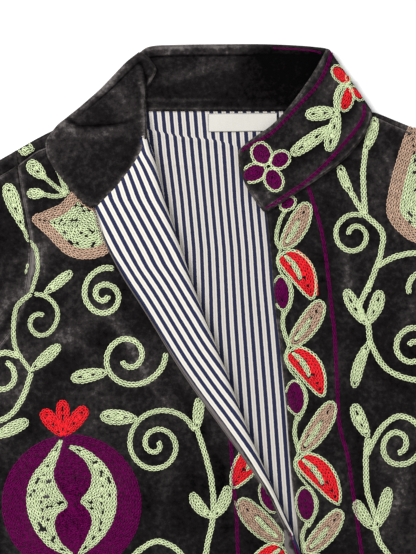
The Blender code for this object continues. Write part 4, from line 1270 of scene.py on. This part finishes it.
LINE_ROW = 1.5
LEFT_LINE = [(55, -63), (59, -75), (66, -98), (70, -120), (73, -144), (76, -172), (78, -190), (80, -229),
             (81.4, -259), (83.6, -273), (89, -292), (93.4, -322), (97.4, -350), (101.2, -377),
             (108, -440), (116, -520), (123, -594)]
RIGHT_LINE = [(-14, -240), (-9.7, -280), (-7.6, -315), (-5.1, -337), (-3.4, -377), (1, -440), (7, -520),
              (14, -603)]
vine("lines", LEFT_LINE, 2, "purple", LINE_ROW)
vine("lines", RIGHT_LINE, 2, "purple", LINE_ROW)
chain("lines", "purple", along([(-125.0, -84), (-122.8, -93), (-119.4, -106), (-117.6, -111)],
                               np.linspace(0, 1, 24)), 1.8, face=turned_face)
vine("lines", [(40.0, -352), (42.6, -361), (45.4, -370), (47.4, -379)], 2, "purple", 1.3, face=turned_face)
COLLAR_EDGE_LINE = [(74, 50), (75, 47), (70, 33), (62, 19), (51, 7), (35, -10), (22, -22), (8, -29),
                    (-3, -36)]
COLLAR_SEAM_LINE = [(102.5, 4), (102, -5.5), (96.5, -15.5), (84.5, -30), (70.5, -45.5), (52, -62.2),
                    (36, -73), (20, -84)]
vine("lines", COLLAR_EDGE_LINE, 2, "purple", 1.4, face=collar_face)
vine("lines", COLLAR_SEAM_LINE, 2, "purple", 1.5, face=collar_face)
vine("lines", [(26, 53.0), (44, 52.0), (58, 50.8), (67, 48.8)], 1, "purple", 1.4, face=collar_face)

# ---------------------------------------------------------------------------------------------------
# Vines of the left front. Curls, buds and paired leaves in green that branch from one stem.

PART = "left_front"
bud(PART, (102.5, -37), (112.5, -5.5), 9.5, -1.5)
vine(PART, [(104, -34), (102, -54), (103, -76), (104, -87)])
bud(PART, (93.5, -73), (81.5, -46), 8.5, 1.0)
vine(PART, [(92, -70), (97, -79), (103, -88)])
vine(PART, curl((93, -105.5), 63, 470, (18.7, 15, 13.6, 13.8, 12.8, 10, 5.4, 3)), row=2.1)
vine(PART, [(103, -88), (118, -103), (117, -121), (113, -133), (109, -144), (106, -153)])
vine(PART, [(114, -132), (129, -124), (148, -121), (166, -127), (176, -142), (172, -158)])
bud(PART, (106, -182), (87, -151), 11.5, 1.5)
bud(PART, (105, -182), (117, -152), 12, -1.5)
vine(PART, [(109, -144), (103, -156), (99, -166), (102, -178)])
vine(PART, [(106, -178), (108, -196)])
bud(PART, (108, -194), (94, -235), 10, -2)
vine(PART, [(108, -196), (117, -213), (129, -223), (148, -228), (168, -224), (184, -210)])
vine(PART, curl((155, -150), 200, -330, (15, 14, 12, 10, 6, 3)))
vine(PART, curl((143, -201), 72, 420, (18, 14, 12, 12, 10, 6, 3)))
bud(PART, (107, -277), (94, -248), 12, 1)
vine(PART, [(105.5, -291), (110, -281), (118, -268), (130, -259), (141, -260.5), (150, -268), (158, -280),
            (160, -296)])
vine(PART, curl((131, -282), -15, -430, (20, 17, 11, 9.8, 7.4, 7.5)))
vine(PART, [(106, -277), (104.5, -290), (104.5, -305), (105.6, -322), (109.7, -335), (114, -348)])
bud(PART, (112, -355), (95, -329), 11, 1.5)
bud(PART, (112, -355), (124, -318), 11, -1.5)
vine(PART, [(112, -352), (116, -365), (124, -377), (132, -400), (130, -424), (124, -440)])
filled(PART, rounded([(143, -12), (131, -40), (124, -67), (122, -88), (134, -105), (150, -113),
                      (168, -108), (179, -90), (174, -62), (158, -34)]),
       [("taupe", 5), ("green", 1)], holes=HOLE_SHARE)

# ---------------------------------------------------------------------------------------------------
# Border of the left front. Leaves in pairs, one taupe and one red, with purple berries between them,
# all outlined in green, repeat from the neck to the hem.

PART = "left_border"
BLADE_PITCH = 2.1
BERRY_PITCH = 1.9
TAUPE_FULL = (0.46, 0.42)
RED_FULL = (0.34, 0.62)
BERRY_FULL = (0.56, 0.56)
BORDER = [
    ("base_x", "base_y", "taupe_tip_x", "taupe_tip_y", "red_tip_x", "red_tip_y", "berry_x", "berry_y"),
    (34.0, -118, 55.8, -77.8, 60.4, -160.7, 33.4, -154.7),
    (40.6, -200, 68.0, -160.7, 68.9, -243.0, 45.0, -243.0),
    (48.6, -290, 77.6, -245.7, 82.5, -334.0, 53.6, -333.0),
    (53.0, -375, 84.2, -337.5, 86.0, -419.0, 58.6, -418.0),
    (64.0, -460, 95.0, -422.0, 97.0, -503.0, 68.0, -503.0),
    (74.0, -545, 104.0, -507.0, 106.0, -588.0, 78.5, -585.0),
]


def border_leaf(part, base, tip, width, colour, full, lean):
    """One leaf of the border: a green outline, a coloured blade and a green rib."""
    base, tip = np.array(base, float), np.array(tip, float)
    blade = leaf(base, tip, width, full, lean)
    t0, t1 = (0.12, 0.64) if colour == "taupe" else (0.05, 0.6)
    rib = leaf(base + (tip - base) * t0, base + (tip - base) * t1, 5.0, (0.4, 0.3), lean * 0.55)
    beside_rib = width / 2 - ROW - 2.5
    pitch = beside_rib / round(beside_rib / BLADE_PITCH)
    filled(part, blade, [("green", 1), (colour, 1)], keep_out=[rib], pitch=pitch)
    filled(part, rib, [("green", 1)], pitch=BLADE_PITCH)


for number, (x, y, taupe_x, taupe_y, red_x, red_y, berry_x, berry_y) in enumerate(BORDER[1:]):
    border_leaf(PART, (x, y), (taupe_x, taupe_y), 18.4, "taupe", TAUPE_FULL, -1.6)
    border_leaf(PART, (x - 0.4, y - 2), (red_x, red_y), 23.5, "red", RED_FULL, 4.4)
    if number == len(BORDER) - 2:
        break
    next_x, next_y = BORDER[number + 2][:2]
    swell = 0 if number == 0 else 1.4
    filled(PART, leaf((berry_x - 1.5, berry_y + 15.5), (berry_x + 1.5, berry_y - 15.5), 16 + 1.4 * swell,
                      BERRY_FULL), [("green", 1), ("purple", 1)], pitch=BERRY_PITCH)
    vine(PART, [(x - 1, y + 1), (x - 4.5, y - 9), (x - 1 + swell, y - 20), (berry_x + 6.6, berry_y + 10),
                (berry_x + 9 + 0.6 * swell, berry_y), (berry_x + 7.4, berry_y - 10),
                (berry_x + 2.5, berry_y - 19)], 1, row=2.0)
    vine(PART, [(berry_x + 1.5, berry_y - 15), ((berry_x + next_x) / 2 - 2.5, (berry_y + next_y) / 2 - 6),
                (next_x - 1, next_y + 1)], 2, row=1.8)
vine(PART, [(37, -84), (32.8, -91), (30, -100), (28.8, -110), (32, -117)], 2, row=1.7)
chain(PART, "red", along([(46, -118.2), (56, -127), (60.4, -138), (63.2, -149), (63.4, -156.5)],
                         np.linspace(0, 1, 30)), 1.3)
filled(PART, oval((38.5, -79), 13, 17, 35), [("green", 1), ("purple", 1)])

# ---------------------------------------------------------------------------------------------------
# Vines of the right front. Green curls, buds and stems of chain stitch on the velvet, some of them
# across the armhole seam, with a taupe-edged medallion at the shoulder.

PART = "right_front"
vine(PART, curl((-117, -156), 69, 637, (25, 17, 15, 16, 13, 9, 8, 6, 5, 4)))
vine(PART, curl((-98, -209), 6, -500, (35, 26, 21, 17, 15, 16, 15, 12, 8, 4)))
bud(PART, (-113, -221), (-145, -227), 12)
bud(PART, (-88, -260.5), (-120, -258.5), 13)
vine(PART, curl((-74, -283), 20, 740, (38, 27.4, 20, 20, 19.4, 17, 12, 7, 6.2, 5.4, 3.8)), row=2.1)
bud(PART, (-38.5, -272), (-35.7, -242), 9.5)
vine(PART, [(-38, -270), (-29.5, -297), (-25, -320), (-24.6, -344), (-29, -365), (-31.5, -377), (-40, -398)])
bud(PART, (-25, -345), (-43.5, -323), 10.5, 2)
vine(PART, [(-6.5, -330), (-5.2, -335)], 1, row=1.2)
bud(PART, (-24, -345), (-11.3, -317), 10.5, -2)
vine(PART, [(-97, -384), (-87, -372), (-71, -364), (-54, -372), (-48, -384)])
bud(PART, (-166, -58), (-181, -43.5), 12)
vine(PART, [(-148, -71.5), (-158, -64.5), (-170, -54)], row=1.8)
bud(PART, (-166, -71), (-182, -70.5), 9.5)
vine(PART, [(-148, -71.5), (-159, -73), (-171, -70.5)], row=1.8)
vine(PART, [(-148, -71.5), (-151.5, -59), (-157, -46)], 3, row=1.8)
filled(PART, np.array([(-192.3, -32.5), (-180.2, -26.5), (-174.5, -33.8), (-184.5, -39.5)]), [("green", 1)])
filled(PART, rounded([(-140, -66), (-153, -79), (-168, -86), (-178, -92), (-164, -107), (-147, -123),
                      (-129, -126), (-112, -120), (-102, -102), (-112, -84), (-128, -74)]),
       [("taupe", 4), ("green", 1)], holes=HOLE_SHARE)
filled(PART, leaf((-183, -106), (-199, -62), 13, (1.1, 0.4)), [("green", 1)])
vine(PART, [(-184, -101), (-181, -109), (-174, -118), (-172.5, -134), (-175, -144), (-178, -154)], row=1.7)
vine(PART, [(-182.8, -138.5), (-181, -130)], 1, row=1.8)
vine(PART, [(-178, -155), (-190, -166), (-193, -183), (-192, -198), (-188, -207), (-178, -221)], row=1.9)
vine(PART, curl((-169, -176), 107, -404, (22, 17, 14.5, 12, 13, 15, 13, 9.5, 5, 3.5, 2.5)), row=1.9)
bud(PART, (-168, -156), (-143, -136), 9)
bud(PART, (-179, -221), (-153, -198), 10)
vine(PART, [(-178, -222), (-184, -240), (-195, -257), (-212, -264), (-230, -262)])
vine(PART, curl((-204, -226), 70, -300, (14, 12, 10, 8, 5)))
vine(PART, [(-214, -209), (-200, -205), (-189, -208)])
bud(PART, (-210, -277), (-180, -262), 11)

# ---------------------------------------------------------------------------------------------------
# Pomegranate. A purple round of rows laid ring in ring, opened by two green crescents of seeds, with a
# red crown of three petals.

ROUND = (-144.0, -333.0)
left_seeds = rounded([(-151, -275), (-155.5, -280), (-166, -294), (-179, -312), (-182, -334),
                      (-174, -356), (-160, -371), (-140, -377), (-152, -366), (-158, -352),
                      (-156, -342), (-147, -333), (-155, -320), (-159, -306), (-154, -290)])
right_seeds = rounded([(-148, -283.5), (-138, -284), (-126, -290), (-113, -303), (-106, -322), (-108, -344),
                       (-120, -364), (-139, -377), (-132, -362), (-127, -348), (-130, -338), (-137, -330),
                       (-130, -321), (-127, -309), (-134, -295)])
filled(PART, left_seeds, [("green", 1)], pitch=2.4, holes=HOLE_SHARE)
filled(PART, right_seeds, [("green", 1)], pitch=2.4, holes=HOLE_SHARE)
filled("pomegranate", oval(ROUND, 118, 118), [("purple", 1)], keep_out=[left_seeds, right_seeds])
for tip, width in (((-168.5, -253), 12.5), ((-151.5, -244.5), 11.5), ((-131.5, -250.5), 12.5)):
    filled("pomegranate", leaf((-151, -277), tip, width, (0.9, 0.42)), [("red", 1)])

# ---------------------------------------------------------------------------------------------------
# Border of the right front. The same leaves and berries in green, taupe, red and purple thread,
# worked on the velvet beside its front edge, with its upper part under the lapel.

PART = "right_border"
for x, y in ((22, -281), (35.5, -366), (42, -450), (49, -535)):
    border_leaf(PART, (x, y), (x - 39, y + 37.5), 21, "taupe", TAUPE_FULL, 2.0)
    border_leaf(PART, (x - 1, y - 2), (x - 31, y - 39), 23, "red", RED_FULL, -3.2)
    filled(PART, leaf((x - 5, y - 32), (x + 6, y - 60), 16, BERRY_FULL), [("green", 1), ("purple", 1)],
           pitch=BERRY_PITCH)

# ---------------------------------------------------------------------------------------------------
# Embroidery of the collar. A purple flower of four petals, three leaves and a red flower in chain
# stitch, on the outer velvet where the collar comes forward.

PART = "collar"
FLOWER = np.array([21.4, -48.2])
for angle, far, across, length in ((116, 11.8, 19, 22), (29, 11.8, 16.5, 20), (205, 12.6, 17.5, 23),
                                   (294, 12.2, 17.5, 22)):
    turned = math.radians(angle)
    centre = FLOWER + far * np.array([math.cos(turned), math.sin(turned)])
    filled(PART, oval(centre, across, length, angle), [("green", 1), ("purple", 1)], face=collar_face)
for base, tip, width in (((77, -13), (40.5, -38.5), 12), ((81, -2), (52.5, -5), 12),
                         ((81, -2), (72, -36), 12)):
    bud(PART, base, tip, width, face=collar_face)
vine(PART, [(80, -3), (79, 9), (82, 18), (89, 22)], face=collar_face)
for tip, width, lean in (((76, 37), 13, 0), ((84.3, -2.5), 12.5, 1), ((102, 7.5), 9, 0), ((88.5, 31), 6, 0)):
    filled(PART, leaf((90, 20.5), tip, width, (0.5, 0.42), lean), [("green", 1), ("red", 1)], pitch=1.9,
           face=collar_face)

for key in sorted(worked):
    finish_thread(*key)

# ---------------------------------------------------------------------------------------------------
# Surface, light and camera. A plain white floor under a wide soft light from the upper left, seen from
# straight above as in the photograph.

bpy.ops.mesh.primitive_plane_add(size=6, location=(0, 0, -0.0002))
floor = bpy.context.object
floor.name = "floor"
white_floor = bpy.data.materials.new("white_floor")
white_floor.use_nodes = True
paper = white_floor.node_tree.nodes["Principled BSDF"]
paper.inputs["Base Color"].default_value = (0.93, 0.93, 0.93, 1)
paper.inputs["Roughness"].default_value = 0.9
floor.data.materials.append(white_floor)

world = bpy.data.worlds.new("studio")
bpy.context.scene.world = world
world.use_nodes = True
world.node_tree.nodes["Background"].inputs["Color"].default_value = (1, 1, 1, 1)
world.node_tree.nodes["Background"].inputs["Strength"].default_value = 0.62
for name, place, size, power in (("window", (-1.1, 0.9, 1.3), 0.8, 36), ("fill", (1.2, -0.6, 2.0), 2.0, 7)):
    bpy.ops.object.light_add(type="AREA", location=place)
    lamp = bpy.context.object
    lamp.name = name
    lamp.data.size = size
    lamp.data.energy = power
    lamp.rotation_euler = (Vector((-0.06, 0.14, 0)) - lamp.location).to_track_quat("-Z", "Y").to_euler()

CAMERA_AT = (-28.9, -141.1)
PHOTO_ROWS = 554
MM_A_PIXEL = 0.85
LENS = 85
SENSOR = 36
bpy.ops.object.camera_add()
camera = bpy.context.object
camera.data.lens = LENS
camera.data.sensor_width = SENSOR
camera.data.sensor_fit = "AUTO"
height = PHOTO_ROWS * MM_A_PIXEL * MM * LENS / SENSOR
camera.location = ((CAMERA_AT[0] - MIDDLE[0]) * MM, (CAMERA_AT[1] - MIDDLE[1]) * MM, height)
camera.rotation_euler = (0, 0, 0)
bpy.context.scene.camera = camera
bpy.context.scene.view_settings.view_transform = "Standard"
